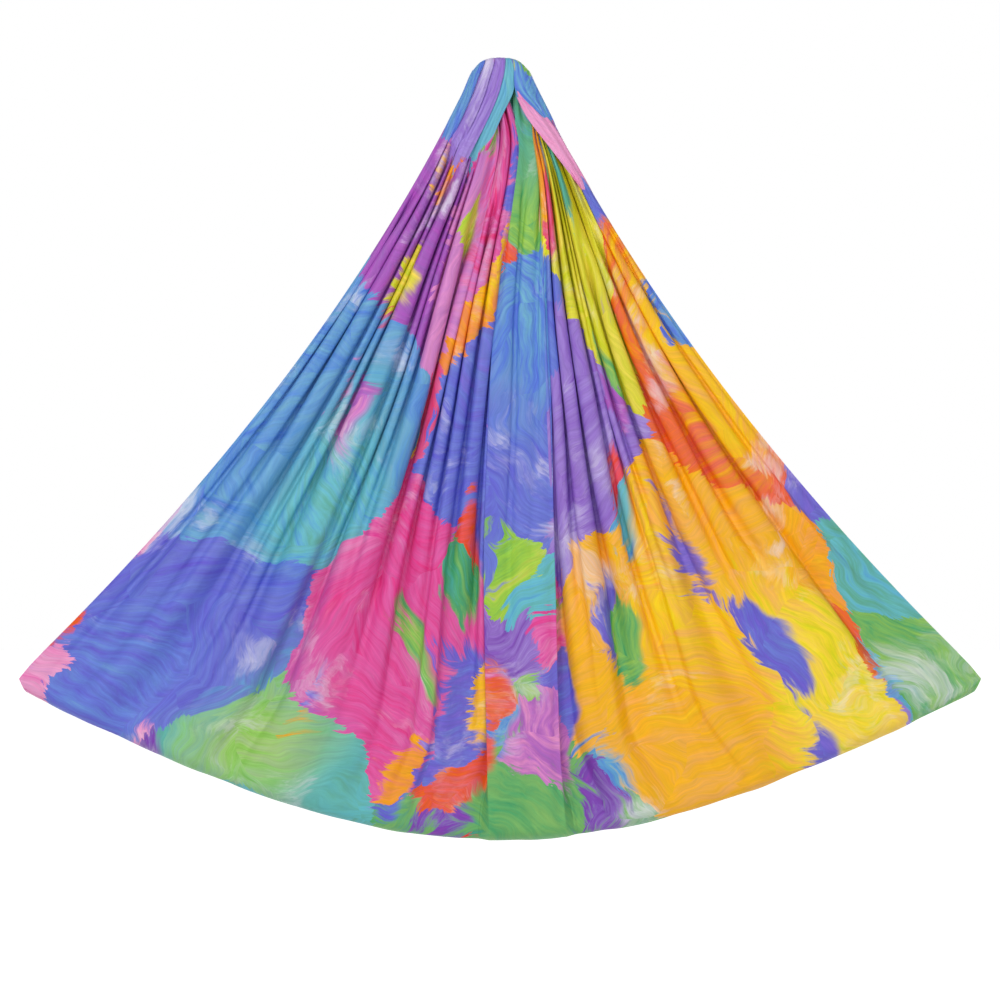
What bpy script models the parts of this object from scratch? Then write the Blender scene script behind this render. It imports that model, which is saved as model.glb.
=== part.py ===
"""Aerial hammock: one gathered sheet hung as a doubled sling from an oval screw-gate carabiner.

The frame: +X runs across the sling, the front leg faces -Y, +Z is up. The origin is the inner
crown of the carabiner's top bow, the point that the hammock hangs from. Lengths are in metres.
"""
import math

import bmesh
import bpy
import numpy as np
from mathutils import Matrix, Vector

# Carabiner body
ROD_RADIUS = 0.006
BOW_RADIUS = 0.029
SPINE_LENGTH = 0.050
NOSE_DROP = 0.008
BLADE_LENGTH = 0.008
BLADE_THICKNESS = 0.004
TANG_THICKNESS = 0.004
TANG_EYE_RADIUS = 0.0054
SHOULDER_DEPTH = 0.0062

# Gate, its pins and the parts inside it
GATE_RADIUS = 0.00575
GATE_EYE_RADIUS = 0.0056
GATE_EYE_HALF_WIDTH = 0.0054
GATE_END_GAP = 0.0008
SLOT_DEPTH_GAP = 0.0008
SIDE_GAP = 0.0003
FIT_GAP = 0.0003
GATE_PIN_RADIUS = 0.002
GATE_PIN_LENGTH = 0.0114
LATCH_PIN_RADIUS = 0.0015
LATCH_PIN_LENGTH = 0.0104
LATCH_SETBACK = 0.0045
NOTCH_FALL = 0.0006
PIN_EDGE = 0.0003
BORE_RADIUS = 0.0029
BORE_LENGTH = 0.0230
PUSH_ROD_RADIUS = 0.0022
PUSH_ROD_LENGTH = 0.0062
SPRING_RADIUS = 0.0021
SPRING_WIRE_RADIUS = 0.00035
SPRING_LENGTH = 0.0158
SPRING_TURNS = 9

# Screw sleeve
SLEEVE_RADIUS = 0.009
SLEEVE_LENGTH = 0.026
SLEEVE_REST = 0.007
SLEEVE_CHAMFER = 0.0012
FLUTE_COUNT = 12
FLUTE_RADIUS = 0.0018
FLUTE_DEPTH = 0.0008

# Sheet, as it hangs
HANG_DROP = 2.054
HALF_SPAN = 1.298
CORNER_RISE = 0.410
ARC_FULLNESS_SHARE = 1.291
CROWN_TOP = 0.025
CROWN_HALF_WIDTH = 0.0766
CROWN_HEIGHT = 0.048
CROWN_ROUND_SHARE = 0.65
FLARE_SHARE = 0.33
TROUGH_RADIUS = 0.040
CLOTH_WALL = 0.0012
CLOTH_GAP = 0.0008
CORNER_DRAW = 0.030
CORNER_DRAW_POWER = 10

# Head of each leg
HEAD_EDGE_DEPTH = 0.0365
HEAD_BULGE = 0.0105
HEAD_END_SHARE = 0.10
HEAD_SETTLE_SHARE = 0.20
ROLL_HEIGHT = 0.010
RETURN_DEPTH = 0.0257
RETURN_END = 0.096
RETURN_HALF_WIDTH = 0.032

# Folds of the legs: height of the folds and of the flat centre pleat, out from the mid surface
FOLDS_LEFT = 6.5
FOLDS_RIGHT = 5.5
COLUMNS_PER_FOLD = 4
FOLD_HEIGHT = 0.0175
HEM_FOLD_HEIGHT = 0.0045
FOLD_FADE_SHARE = 0.80
FOLD_FADE_POWER = 6
CLEAR_HEAD_DEPTH = 0.0275
CLEAR_LEG_DEPTH = 0.0352
CLEAR_START_SHARE = 0.12
CLEAR_RUN_SHARE = 0.30
PLEAT_HEIGHT = 0.009
PLEAT_HALF_WIDTH = 0.103
PLEAT_HEAD_HALF_WIDTH = 0.005
PLEAT_START_SHARE = 0.02
PLEAT_OPENING_SHARE = 0.24
PLEAT_FOOT_SHARE = 0.055
PLEAT_LEAN_SHARE = 0.445
PLEAT_TURN_SHARE = 0.22
PLEAT_EDGE_SHARE = 0.15
ROW_SHARES = (0.0, 0.05, 0.13, 0.25, 0.40, 0.58, 0.78, 1.0)
TROUGH_STEPS = 8

# Gathered ends: bights over the lower bow, the choke collar and the tails
BUNDLE_RADIUS = 0.0085
BUNDLE_NECK_RADIUS = 0.0072
BUNDLE_SIDE = 0.0089
BUNDLE_NECK_SIDE = 0.0076
BUNDLE_NECK_DEPTH = 0.0076
NECK_START = 0.012
NECK_LENGTH = 0.012
COLLAR_DROP = 0.029
COLLAR_RADIUS = 0.0234
COLLAR_ROPE_RADIUS = 0.0050
BIGHT_END = 0.044
TAIL_LENGTH = 0.160
TAIL_END_RADIUS = 0.0100
TAIL_END_SHARE = 0.75

# Facets
PIN_SIDES = 20
FLUTE_SIDES = 12
GATE_SIDES = 32
SLEEVE_STEPS = 48
BOW_STEPS = 18
U_STEPS = 10
TAIL_STEPS = 6
CURL_POINTS = 9
COLLAR_STEPS = 32
COLLAR_SIDES = 10
NECK_STEP_SHARES = (1 / 3, 2 / 3, 1.0)
SHARP_DEGREES = 40
WELD_DISTANCE = 0.000006
OVERRUN = 0.002

# Places worked out from the sizes above
TOP_BOW_Z = ROD_RADIUS - BOW_RADIUS
HINGE_Z = TOP_BOW_Z - SPINE_LENGTH
LOWER_BAR_Z = HINGE_Z - BOW_RADIUS
NOSE_Z = TOP_BOW_Z - NOSE_DROP
GATE_LENGTH = NOSE_Z - HINGE_Z - GATE_END_GAP
LATCH_Z = NOSE_Z - LATCH_SETBACK
SLOT_TOP_Z = HINGE_Z + TANG_EYE_RADIUS + SLOT_DEPTH_GAP
CROWN_BASE_Z = CROWN_TOP - CROWN_HEIGHT

ASSEMBLY_NAME = "aerial_hammock"


def clear_scene():
    """Remove every object, so that the script starts from nothing."""
    for item in list(bpy.data.objects):
        bpy.data.objects.remove(item, do_unlink=True)


def new_collection(name):
    """Make a collection under the scene's own."""
    collection = bpy.data.collections.new(name)
    bpy.context.scene.collection.children.link(collection)
    return collection


def new_material(name, colour, roughness, metallic):
    """Make a Principled material of one colour."""
    material = bpy.data.materials.new(name)
    material.use_nodes = True
    shader = material.node_tree.nodes["Principled BSDF"]
    shader.inputs["Base Color"].default_value = (*colour, 1.0)
    shader.inputs["Roughness"].default_value = roughness
    shader.inputs["Metallic"].default_value = metallic
    return material


def move_to(collection, item):
    """Keep an object in one collection only."""
    for holder in list(item.users_collection):
        holder.objects.unlink(item)
    collection.objects.link(item)


def mesh_object(name, collection, vertices, faces):
    """Make a smooth mesh object from points and faces that a rule has worked out."""
    mesh = bpy.data.meshes.new(name)
    mesh.from_pydata([tuple(point) for point in vertices], [], faces)
    mesh.update()
    mesh.shade_smooth()
    item = bpy.data.objects.new(name, mesh)
    collection.objects.link(item)
    return item


def cylinder(name, collection, radius, length, centre, axis="Z", sides=PIN_SIDES):
    """Make a closed cylinder along Y or Z, with its place in its mesh."""
    turns = {"Y": Matrix.Rotation(math.pi / 2, 4, "X"), "Z": Matrix.Identity(4)}
    shape = bmesh.new()
    bmesh.ops.create_cone(shape, cap_ends=True, segments=sides, radius1=radius, radius2=radius,
                          depth=length, matrix=Matrix.Translation(centre) @ turns[axis])
    mesh = bpy.data.meshes.new(name)
    shape.to_mesh(mesh)
    shape.free()
    mesh.shade_smooth()
    mesh.set_sharp_from_angle(angle=math.radians(SHARP_DEGREES))
    item = bpy.data.objects.new(name, mesh)
    collection.objects.link(item)
    return item


def block(name, collection, low, high):
    """Make a closed box between two corners."""
    low = Vector(low)
    high = Vector(high)
    size = high - low
    shape = bmesh.new()
    bmesh.ops.create_cube(shape, size=1.0, matrix=Matrix.Translation((low + high) / 2)
                          @ Matrix.Diagonal((*size, 1.0)))
    mesh = bpy.data.meshes.new(name)
    shape.to_mesh(mesh)
    shape.free()
    item = bpy.data.objects.new(name, mesh)
    collection.objects.link(item)
    return item


def tube(name, collection, points, radius, radii_shares=None, resolution=2):
    """Make a tube along points, with filled ends, as a curve of one poly spline."""
    curve = bpy.data.curves.new(name, "CURVE")
    curve.dimensions = "3D"
    curve.bevel_depth = radius
    curve.bevel_resolution = resolution
    curve.use_fill_caps = True
    spline = curve.splines.new("POLY")
    spline.points.add(len(points) - 1)
    spline.use_smooth = True
    for index, place in enumerate(points):
        spline.points[index].co = (*place, 1.0)
        if radii_shares is not None:
            spline.points[index].radius = radii_shares[index]
    item = bpy.data.objects.new(name, curve)
    collection.objects.link(item)
    return item


def as_mesh(item, collection):
    """Turn a curve object into a mesh object with welded caps, so that it can be cut."""
    bpy.context.view_layer.update()
    evaluated = item.evaluated_get(bpy.context.evaluated_depsgraph_get())
    mesh = bpy.data.meshes.new_from_object(evaluated)
    shape = bmesh.new()
    shape.from_mesh(mesh)
    bmesh.ops.remove_doubles(shape, verts=shape.verts, dist=WELD_DISTANCE)
    shape.to_mesh(mesh)
    shape.free()
    solid = bpy.data.objects.new(item.name + "_solid", mesh)
    solid.matrix_world = item.matrix_world
    collection.objects.link(solid)
    bpy.data.objects.remove(item, do_unlink=True)
    return solid


def boolean(target, tool, operation="DIFFERENCE"):
    """Cut a tool from a target, or join it on, and hide the tool."""
    step = target.modifiers.new(tool.name, "BOOLEAN")
    step.operation = operation
    step.solver = "EXACT"
    step.object = tool
    tool.hide_render = True
    tool.display_type = "WIRE"


def hand_over(item, name, material, collection, axis=None):
    """Name a finished piece, give it its material and hang it on its joint's empty."""
    item.name = name
    item.data.name = name
    item.data.materials.clear()
    item.data.materials.append(material)
    move_to(collection, item)
    if axis is not None:
        item.parent = axis
        item.matrix_parent_inverse = Matrix.Translation(-Vector(axis["place"]))
    return item


def joint_axis(name, collection, place, parent=None):
    """Make an empty on a joint's axis."""
    axis = bpy.data.objects.new(name, None)
    axis.empty_display_size = BOW_RADIUS
    axis["place"] = place
    if parent is None:
        axis.location = place
    else:
        axis.parent = parent
        axis.location = Vector(place) - Vector(parent["place"])
    collection.objects.link(axis)
    return axis


def half_turn(centre_z, start, turn):
    """Points of half a circle of the bow's radius in the plane y = 0."""
    angles = np.linspace(start, start + turn, BOW_STEPS + 1)
    return [(BOW_RADIUS * math.cos(angle), 0.0, centre_z + BOW_RADIUS * math.sin(angle))
            for angle in angles]


def carabiner_body(parts, cutters, steel):
    """Bend the rod from hinge to nose, then cut its tang, its blade and the latch notch."""
    path = half_turn(HINGE_Z, 0.0, -math.pi) + half_turn(TOP_BOW_Z, math.pi, -math.pi)
    path.append((BOW_RADIUS, 0.0, NOSE_Z - BLADE_LENGTH))
    rod = as_mesh(tube("body_rod", parts, path, ROD_RADIUS, resolution=4), parts)
    rod.data.shade_smooth()
    rod.data.set_sharp_from_angle(angle=math.radians(SHARP_DEGREES))
    left = BOW_RADIUS - ROD_RADIUS - OVERRUN
    right = BOW_RADIUS + ROD_RADIUS + OVERRUN
    reach = ROD_RADIUS + OVERRUN
    for side in (-1, 1):
        faces = sorted((side * TANG_THICKNESS / 2, side * reach))
        boolean(rod, block(f"tang_cheek_{side}", cutters, (left, faces[0], HINGE_Z - SHOULDER_DEPTH),
                           (right, faces[1], HINGE_Z + OVERRUN)))
        faces = sorted((side * BLADE_THICKNESS / 2, side * reach))
        boolean(rod, block(f"blade_cheek_{side}", cutters,
                           (left, faces[0], NOSE_Z - BLADE_LENGTH - OVERRUN),
                           (right, faces[1], NOSE_Z)))
    hinge = (BOW_RADIUS, 0.0, HINGE_Z)
    boolean(rod, cylinder("tang_eye", cutters, TANG_EYE_RADIUS, TANG_THICKNESS, hinge, "Y", GATE_SIDES),
            "UNION")
    hole = GATE_PIN_RADIUS + FIT_GAP
    boolean(rod, cylinder("tang_hole", cutters, hole, 2 * reach, hinge, "Y"))
    clearance = LATCH_PIN_RADIUS + FIT_GAP
    boolean(rod, block("latch_notch", cutters, (left, -reach, LATCH_Z - clearance - NOTCH_FALL),
                       (BOW_RADIUS + clearance, reach, LATCH_Z + clearance)))
    hand_over(rod, "carabiner_body", steel, parts)


def gate(parts, cutters, steel, axis):
    """Turn the gate, then cut its two forks, its pin holes and the bore for its spring."""
    hinge = (BOW_RADIUS, 0.0, HINGE_Z)
    bar = cylinder("gate_bar", parts, GATE_RADIUS, GATE_LENGTH,
                   (BOW_RADIUS, 0.0, HINGE_Z + GATE_LENGTH / 2), "Z", GATE_SIDES)
    boolean(bar, cylinder("gate_eye", cutters, GATE_EYE_RADIUS, 2 * GATE_EYE_HALF_WIDTH, hinge, "Y",
                          GATE_SIDES), "UNION")
    left = BOW_RADIUS - GATE_RADIUS - OVERRUN
    right = BOW_RADIUS + GATE_RADIUS + OVERRUN
    half_slot = TANG_THICKNESS / 2 + SIDE_GAP
    boolean(bar, block("tang_slot", cutters, (left, -half_slot, HINGE_Z - GATE_EYE_RADIUS - OVERRUN),
                       (right, half_slot, SLOT_TOP_Z)))
    half_slot = BLADE_THICKNESS / 2 + SIDE_GAP
    boolean(bar, block("blade_slot", cutters,
                       (left, -half_slot, NOSE_Z - BLADE_LENGTH - SLOT_DEPTH_GAP),
                       (right, half_slot, NOSE_Z + OVERRUN)))
    reach = 2 * (GATE_RADIUS + OVERRUN)
    boolean(bar, cylinder("gate_pin_hole", cutters, GATE_PIN_RADIUS + FIT_GAP, reach, hinge, "Y"))
    boolean(bar, cylinder("latch_pin_hole", cutters, LATCH_PIN_RADIUS + FIT_GAP, reach,
                          (BOW_RADIUS, 0.0, LATCH_Z), "Y"))
    bore_length = BORE_LENGTH + SLOT_DEPTH_GAP
    boolean(bar, cylinder("spring_bore", cutters, BORE_RADIUS, bore_length,
                          (BOW_RADIUS, 0.0, SLOT_TOP_Z - SLOT_DEPTH_GAP + bore_length / 2)))
    hand_over(bar, "carabiner_gate", steel, parts, axis)


def bevel(item, width, segments=2):
    """Round a piece's sharp edges."""
    step = item.modifiers.new("rounding", "BEVEL")
    step.width = width
    step.segments = segments
    step.limit_method = "ANGLE"
    step.angle_limit = math.radians(SHARP_DEGREES)


def pins(parts, steel, axis):
    """Make the hinge rivet, which stays with the body, and the latch pin, which the gate carries."""
    rivet = cylinder("hinge_rivet", parts, GATE_PIN_RADIUS, GATE_PIN_LENGTH,
                     (BOW_RADIUS, 0.0, HINGE_Z), "Y")
    bevel(rivet, PIN_EDGE)
    hand_over(rivet, "gate_pin", steel, parts)
    latch = cylinder("latch_rivet", parts, LATCH_PIN_RADIUS, LATCH_PIN_LENGTH,
                     (BOW_RADIUS, 0.0, LATCH_Z), "Y")
    bevel(latch, PIN_EDGE)
    hand_over(latch, "latch_pin", steel, parts, axis)


def gate_inside(parts, steel, axis):
    """Make the push rod that bears on the tang and the coil spring above it."""
    foot = HINGE_Z + TANG_EYE_RADIUS + FIT_GAP
    rod = cylinder("rod", parts, PUSH_ROD_RADIUS, PUSH_ROD_LENGTH,
                   (BOW_RADIUS, 0.0, foot + PUSH_ROD_LENGTH / 2))
    bevel(rod, PIN_EDGE)
    hand_over(rod, "push_rod", steel, parts, axis)
    spring_foot = foot + PUSH_ROD_LENGTH + FIT_GAP + SPRING_WIRE_RADIUS
    rise = SPRING_LENGTH - 2 * SPRING_WIRE_RADIUS
    count = SPRING_TURNS * CURL_POINTS
    points = []
    for index in range(count + 1):
        angle = 2 * math.pi * index / CURL_POINTS
        points.append((BOW_RADIUS + SPRING_RADIUS * math.cos(angle), SPRING_RADIUS * math.sin(angle),
                       spring_foot + rise * index / count))
    wire_gap = rise / SPRING_TURNS - 2 * SPRING_WIRE_RADIUS
    print(f"gate spring: least gap between curls {wire_gap:.5f} m")
    coil = tube("coil", parts, points, SPRING_WIRE_RADIUS, resolution=1)
    hand_over(coil, "gate_spring", steel, parts, axis)


def sleeve(parts, cutters, alloy, axis):
    """Turn the screw sleeve from its profile and cut its grip flutes."""
    inner = ROD_RADIUS + FIT_GAP
    top = HINGE_Z + SLEEVE_REST + SLEEVE_LENGTH
    foot = HINGE_Z + SLEEVE_REST
    profile = [(SLEEVE_RADIUS - SLEEVE_CHAMFER, top), (SLEEVE_RADIUS, top - SLEEVE_CHAMFER),
               (SLEEVE_RADIUS, foot + SLEEVE_CHAMFER), (SLEEVE_RADIUS - SLEEVE_CHAMFER, foot),
               (inner, foot), (inner, top)]
    mesh = bpy.data.meshes.new("sleeve_profile")
    edges = [(index, (index + 1) % len(profile)) for index in range(len(profile))]
    mesh.from_pydata([(radius, 0.0, height) for radius, height in profile], edges, [])
    ring = bpy.data.objects.new("sleeve_ring", mesh)
    ring.location = (BOW_RADIUS, 0.0, 0.0)
    parts.objects.link(ring)
    turn = ring.modifiers.new("turn", "SCREW")
    turn.axis = "Z"
    turn.angle = 2 * math.pi
    turn.steps = SLEEVE_STEPS
    turn.render_steps = SLEEVE_STEPS
    turn.use_merge_vertices = True
    turn.merge_threshold = WELD_DISTANCE
    turn.use_smooth_shade = True
    away = SLEEVE_RADIUS + FLUTE_RADIUS - FLUTE_DEPTH
    length = SLEEVE_LENGTH + 2 * OVERRUN
    shape = bmesh.new()
    for index in range(FLUTE_COUNT):
        angle = 2 * math.pi * index / FLUTE_COUNT
        place = (BOW_RADIUS + away * math.cos(angle), away * math.sin(angle), (top + foot) / 2)
        bmesh.ops.create_cone(shape, cap_ends=True, segments=FLUTE_SIDES, radius1=FLUTE_RADIUS,
                              radius2=FLUTE_RADIUS, depth=length, matrix=Matrix.Translation(place))
    flutes = bpy.data.meshes.new("flutes")
    shape.to_mesh(flutes)
    shape.free()
    cutter = bpy.data.objects.new("sleeve_flutes", flutes)
    cutters.objects.link(cutter)
    boolean(ring, cutter)
    hand_over(ring, "gate_sleeve", alloy, parts, axis)


def smooth_step(value):
    """Ease from 0 to 1 while a value goes from 0 to 1."""
    value = np.clip(value, 0.0, 1.0)
    return value * value * (3 - 2 * value)


def hem_line(across):
    """Lowest line of the trough: x, z and the unit normal that points up into the sling.

    The line rises from the middle to the corners as a square term less a fourth-power term.
    """
    x = HALF_SPAN * across
    z = -HANG_DROP + CORNER_RISE * (ARC_FULLNESS_SHARE * across ** 2
                                    - (ARC_FULLNESS_SHARE - 1) * across ** 4)
    slope = CORNER_RISE / HALF_SPAN * (2 * ARC_FULLNESS_SHARE * across
                                       - 4 * (ARC_FULLNESS_SHARE - 1) * across ** 3)
    length = np.sqrt(1 + slope ** 2)
    return x, z, -slope / length, 1 / length


def half_width_at(share):
    """Half the sling's width at a share of the way down its edge."""
    _, _, normal_x, _ = hem_line(np.array([1.0]))
    foot = HALF_SPAN + TROUGH_RADIUS * normal_x[0]
    flare = (1 - FLARE_SHARE) * share + FLARE_SHARE * share ** 2
    return CROWN_HALF_WIDTH + (foot - CROWN_HALF_WIDTH) * flare


def pleat_edges(share):
    """Left and right edge of the flat centre pleat, across the sling from -1 to 1.

    The pleat opens from a point at the head, leans to the right there and comes back to the
    middle lower down, while its width grows towards its full width.
    """
    centre = PLEAT_FOOT_SHARE + PLEAT_LEAN_SHARE / (1 + (share / PLEAT_TURN_SHARE) ** 3)
    opened = 1 - math.exp(-max(0.0, share - PLEAT_START_SHARE) / PLEAT_OPENING_SHARE)
    half = PLEAT_HEAD_HALF_WIDTH + (PLEAT_HALF_WIDTH - PLEAT_HEAD_HALF_WIDTH) * opened
    half /= half_width_at(share)
    return centre - half, centre + half


def fold_columns(share):
    """Places across the sling of the grid's columns, their fold profile and their pleat profile.

    The profile is a wave of FOLDS_LEFT folds left of the pleat and FOLDS_RIGHT right of it. It is
    at its lowest along both edges of the pleat, which stands out between them.
    """
    left_edge, right_edge = pleat_edges(share)
    left = np.linspace(0, 1, int(FOLDS_LEFT * COLUMNS_PER_FOLD) + 1)
    right = np.linspace(0, 1, int(FOLDS_RIGHT * COLUMNS_PER_FOLD) + 1)
    pleat = np.array([PLEAT_EDGE_SHARE, 1 - PLEAT_EDGE_SHARE])
    across = np.concatenate([-1 + (left_edge + 1) * left, left_edge + (right_edge - left_edge) * pleat,
                             right_edge + (1 - right_edge) * right])
    wave = np.concatenate([np.cos(2 * math.pi * FOLDS_LEFT * left), [0.0, 0.0],
                           -np.cos(2 * math.pi * FOLDS_RIGHT * right)])
    raised = np.concatenate([np.zeros(len(left)), [1.0, 1.0], np.zeros(len(right))])
    return across, wave, raised


def fold_height(share):
    """Half height of the folds: even from the head to below the middle, then faint at the hem."""
    fade = math.exp(-(share / FOLD_FADE_SHARE) ** FOLD_FADE_POWER)
    return HEM_FOLD_HEIGHT + (FOLD_HEIGHT - HEM_FOLD_HEIGHT) * fade


def leg_depth(share, oval):
    """Depth of a leg's middle surface, and its folds' half height.

    It starts as an oval head and settles at the trough's radius, but the folds' inner side stays
    clear of the room between the legs, which widens from the head down.
    """
    settled = smooth_step((share - HEAD_END_SHARE) / HEAD_SETTLE_SHARE)
    head_depth = HEAD_EDGE_DEPTH + HEAD_BULGE * oval
    opened = smooth_step((share - CLEAR_START_SHARE) / CLEAR_RUN_SHARE)
    clear = CLEAR_HEAD_DEPTH + (CLEAR_LEG_DEPTH - CLEAR_HEAD_DEPTH) * opened
    height = fold_height(share) * (oval + (1 - oval) * settled)
    return np.maximum(head_depth + (TROUGH_RADIUS - head_depth) * settled, clear + height), height


def crown_line(across):
    """Height of the head's rounded top: part half an ellipse, part a parabola."""
    inside = np.clip(1 - across ** 2, 0, 1)
    rise = CROWN_ROUND_SHARE * np.sqrt(inside) + (1 - CROWN_ROUND_SHARE) * inside
    return CROWN_BASE_Z + CROWN_HEIGHT * rise


def leg_row(share):
    """One row of a leg: x, distance from the middle plane, z.

    Each column runs from the crown line to the hem line, along a path that flares as the sling's
    edges do. The head is an oval in plan, so both its bulge and its folds die out at the edges.
    """
    across, wave, raised = fold_columns(share)
    top_x = CROWN_HALF_WIDTH * across
    top_z = crown_line(across) - ROLL_HEIGHT
    hem_x, hem_z, normal_x, normal_z = hem_line(across)
    lift = TROUGH_RADIUS + CLOTH_GAP
    foot_x = hem_x + lift * normal_x
    foot_z = hem_z + lift * normal_z
    flare = (1 - FLARE_SHARE) * share + FLARE_SHARE * share ** 2
    x = top_x + (foot_x - top_x) * flare
    z = top_z + (foot_z - top_z) * share
    oval = np.sqrt(np.clip(1 - across ** 2, 0, 1))
    depth, height = leg_depth(share, oval)
    pleat_height = min(fold_height(share), PLEAT_HEIGHT)
    return x, depth + height * wave + pleat_height * raised, z


def head_rows():
    """Rows of the head's turned-in top: the end of its lining first, its rolled edge last."""
    across, _, _ = fold_columns(0.0)
    top_x, outer, low_z = leg_row(0.0)
    foot_x = RETURN_HALF_WIDTH * across
    lining = np.full(len(across), RETURN_DEPTH)
    middle_z = (low_z - RETURN_END) / 2
    return [(foot_x, lining, np.full(len(across), -RETURN_END)),
            ((foot_x + top_x) / 2, lining, middle_z),
            (top_x, lining, low_z),
            (top_x, (lining + outer) / 2, low_z + ROLL_HEIGHT)]


def grid_faces(rows, columns, flip):
    """Quads of a grid of points, row by row."""
    faces = []
    for row in range(rows - 1):
        for column in range(columns - 1):
            first = row * columns + column
            quad = (first, first + 1, first + columns + 1, first + columns)
            faces.append(quad[::-1] if flip else quad)
    return faces


def cloth(name, parts, rows, side, material, axis):
    """Make a sheet from rows of points, give it its wall and hand it over."""
    points = np.concatenate([np.stack([x, side * depth, z], axis=1) for x, depth, z in rows])
    item = mesh_object(name + "_sheet", parts, points.tolist(),
                       grid_faces(len(rows), len(rows[0][0]), side > 0))
    wall = item.modifiers.new("wall", "SOLIDIFY")
    wall.thickness = CLOTH_WALL
    wall.offset = 0.0
    wall.use_even_offset = False
    hand_over(item, name, material, parts, axis)


def leg(name, parts, side, material, axis):
    """Loft one leg of the sling from its turned-in head down to the trough."""
    cloth(name, parts, head_rows() + [leg_row(share) for share in ROW_SHARES], side, material, axis)


def seat_fold(parts, material, axis):
    """Sweep the trough: half a turn of the sheet along the hem line, from leg to leg.

    Its radius follows the legs' folds. Towards the corners the free edge is drawn in.
    """
    across, wave, raised = fold_columns(1.0)
    hem_x, hem_z, normal_x, normal_z = hem_line(across)
    centre_x = hem_x + TROUGH_RADIUS * normal_x
    centre_z = hem_z + TROUGH_RADIUS * normal_z
    height = fold_height(1.0)
    radius = TROUGH_RADIUS + height * wave + height * raised
    draw = CORNER_DRAW * np.sign(across) * np.abs(across) ** CORNER_DRAW_POWER
    rows = []
    for angle in np.linspace(0, math.pi, TROUGH_STEPS + 1):
        fall = radius * math.sin(angle)
        rows.append((centre_x - normal_x * fall - draw * math.sin(angle),
                     radius * math.cos(angle), centre_z - normal_z * fall))
    cloth("seat_fold", parts, rows, -1, material, axis)


def bight_path(side):
    """Path of one bight: up through the collar, over the lower bow and down again."""
    reach = ROD_RADIUS + FIT_GAP + BUNDLE_RADIUS
    top_z = HINGE_Z - math.sqrt((BOW_RADIUS - reach) ** 2 - BUNDLE_SIDE ** 2)
    turn_z = top_z - reach
    neck_top = LOWER_BAR_Z - NECK_START
    neck_foot = neck_top - NECK_LENGTH
    low = [(BUNDLE_NECK_SIDE, BUNDLE_NECK_DEPTH, LOWER_BAR_Z - BIGHT_END, BUNDLE_NECK_RADIUS),
           (BUNDLE_NECK_SIDE, BUNDLE_NECK_DEPTH, neck_foot, BUNDLE_NECK_RADIUS)]
    for share in NECK_STEP_SHARES:
        ease = float(smooth_step(share))
        low.append((BUNDLE_NECK_SIDE + (BUNDLE_SIDE - BUNDLE_NECK_SIDE) * ease,
                    BUNDLE_NECK_DEPTH + (reach - BUNDLE_NECK_DEPTH) * ease,
                    neck_foot + NECK_LENGTH * share,
                    BUNDLE_NECK_RADIUS + (BUNDLE_RADIUS - BUNDLE_NECK_RADIUS) * ease))
    turn = []
    for angle in np.linspace(0, math.pi, U_STEPS + 1):
        turn.append((BUNDLE_SIDE, reach * math.cos(angle), turn_z + reach * math.sin(angle),
                     BUNDLE_RADIUS))
    rise = [(x, depth, z, radius) for x, depth, z, radius in low]
    fall = [(x, -depth, z, radius) for x, depth, z, radius in reversed(low)]
    return [(side * x, depth, z, radius) for x, depth, z, radius in rise + turn + fall]


def gathered_ends(parts, material, axis):
    """Make the two bights, the collar that chokes them and the tails below it."""
    for name, side in (("front", -1), ("back", 1)):
        path = bight_path(side)
        places = [(x, y, z) for x, y, z, _ in path]
        shares = [radius / BUNDLE_RADIUS for _, _, _, radius in path]
        bundle = tube(f"{name}_bundle", parts, places, BUNDLE_RADIUS, shares)
        hand_over(bundle, f"{name}_bight", material, parts, axis)
        top = LOWER_BAR_Z - BIGHT_END - FIT_GAP
        places = []
        shares = []
        for step in range(TAIL_STEPS + 1):
            share = step / TAIL_STEPS
            radius = BUNDLE_NECK_RADIUS + (TAIL_END_RADIUS - BUNDLE_NECK_RADIUS) * math.sin(
                math.pi * share * TAIL_END_SHARE)
            places.append((side * BUNDLE_NECK_SIDE, -side * BUNDLE_NECK_DEPTH, top - TAIL_LENGTH * share))
            shares.append(radius / BUNDLE_NECK_RADIUS)
        tail = tube(f"{name}_end", parts, places, BUNDLE_NECK_RADIUS, shares)
        hand_over(tail, f"{name}_tail", material, parts, axis)
    bpy.ops.mesh.primitive_torus_add(major_segments=COLLAR_STEPS, minor_segments=COLLAR_SIDES,
                                     major_radius=COLLAR_RADIUS, minor_radius=COLLAR_ROPE_RADIUS,
                                     location=(0.0, 0.0, LOWER_BAR_Z - COLLAR_DROP))
    collar = bpy.context.object
    collar.data.shade_smooth()
    hand_over(collar, "choke_collar", material, parts, axis)


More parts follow.
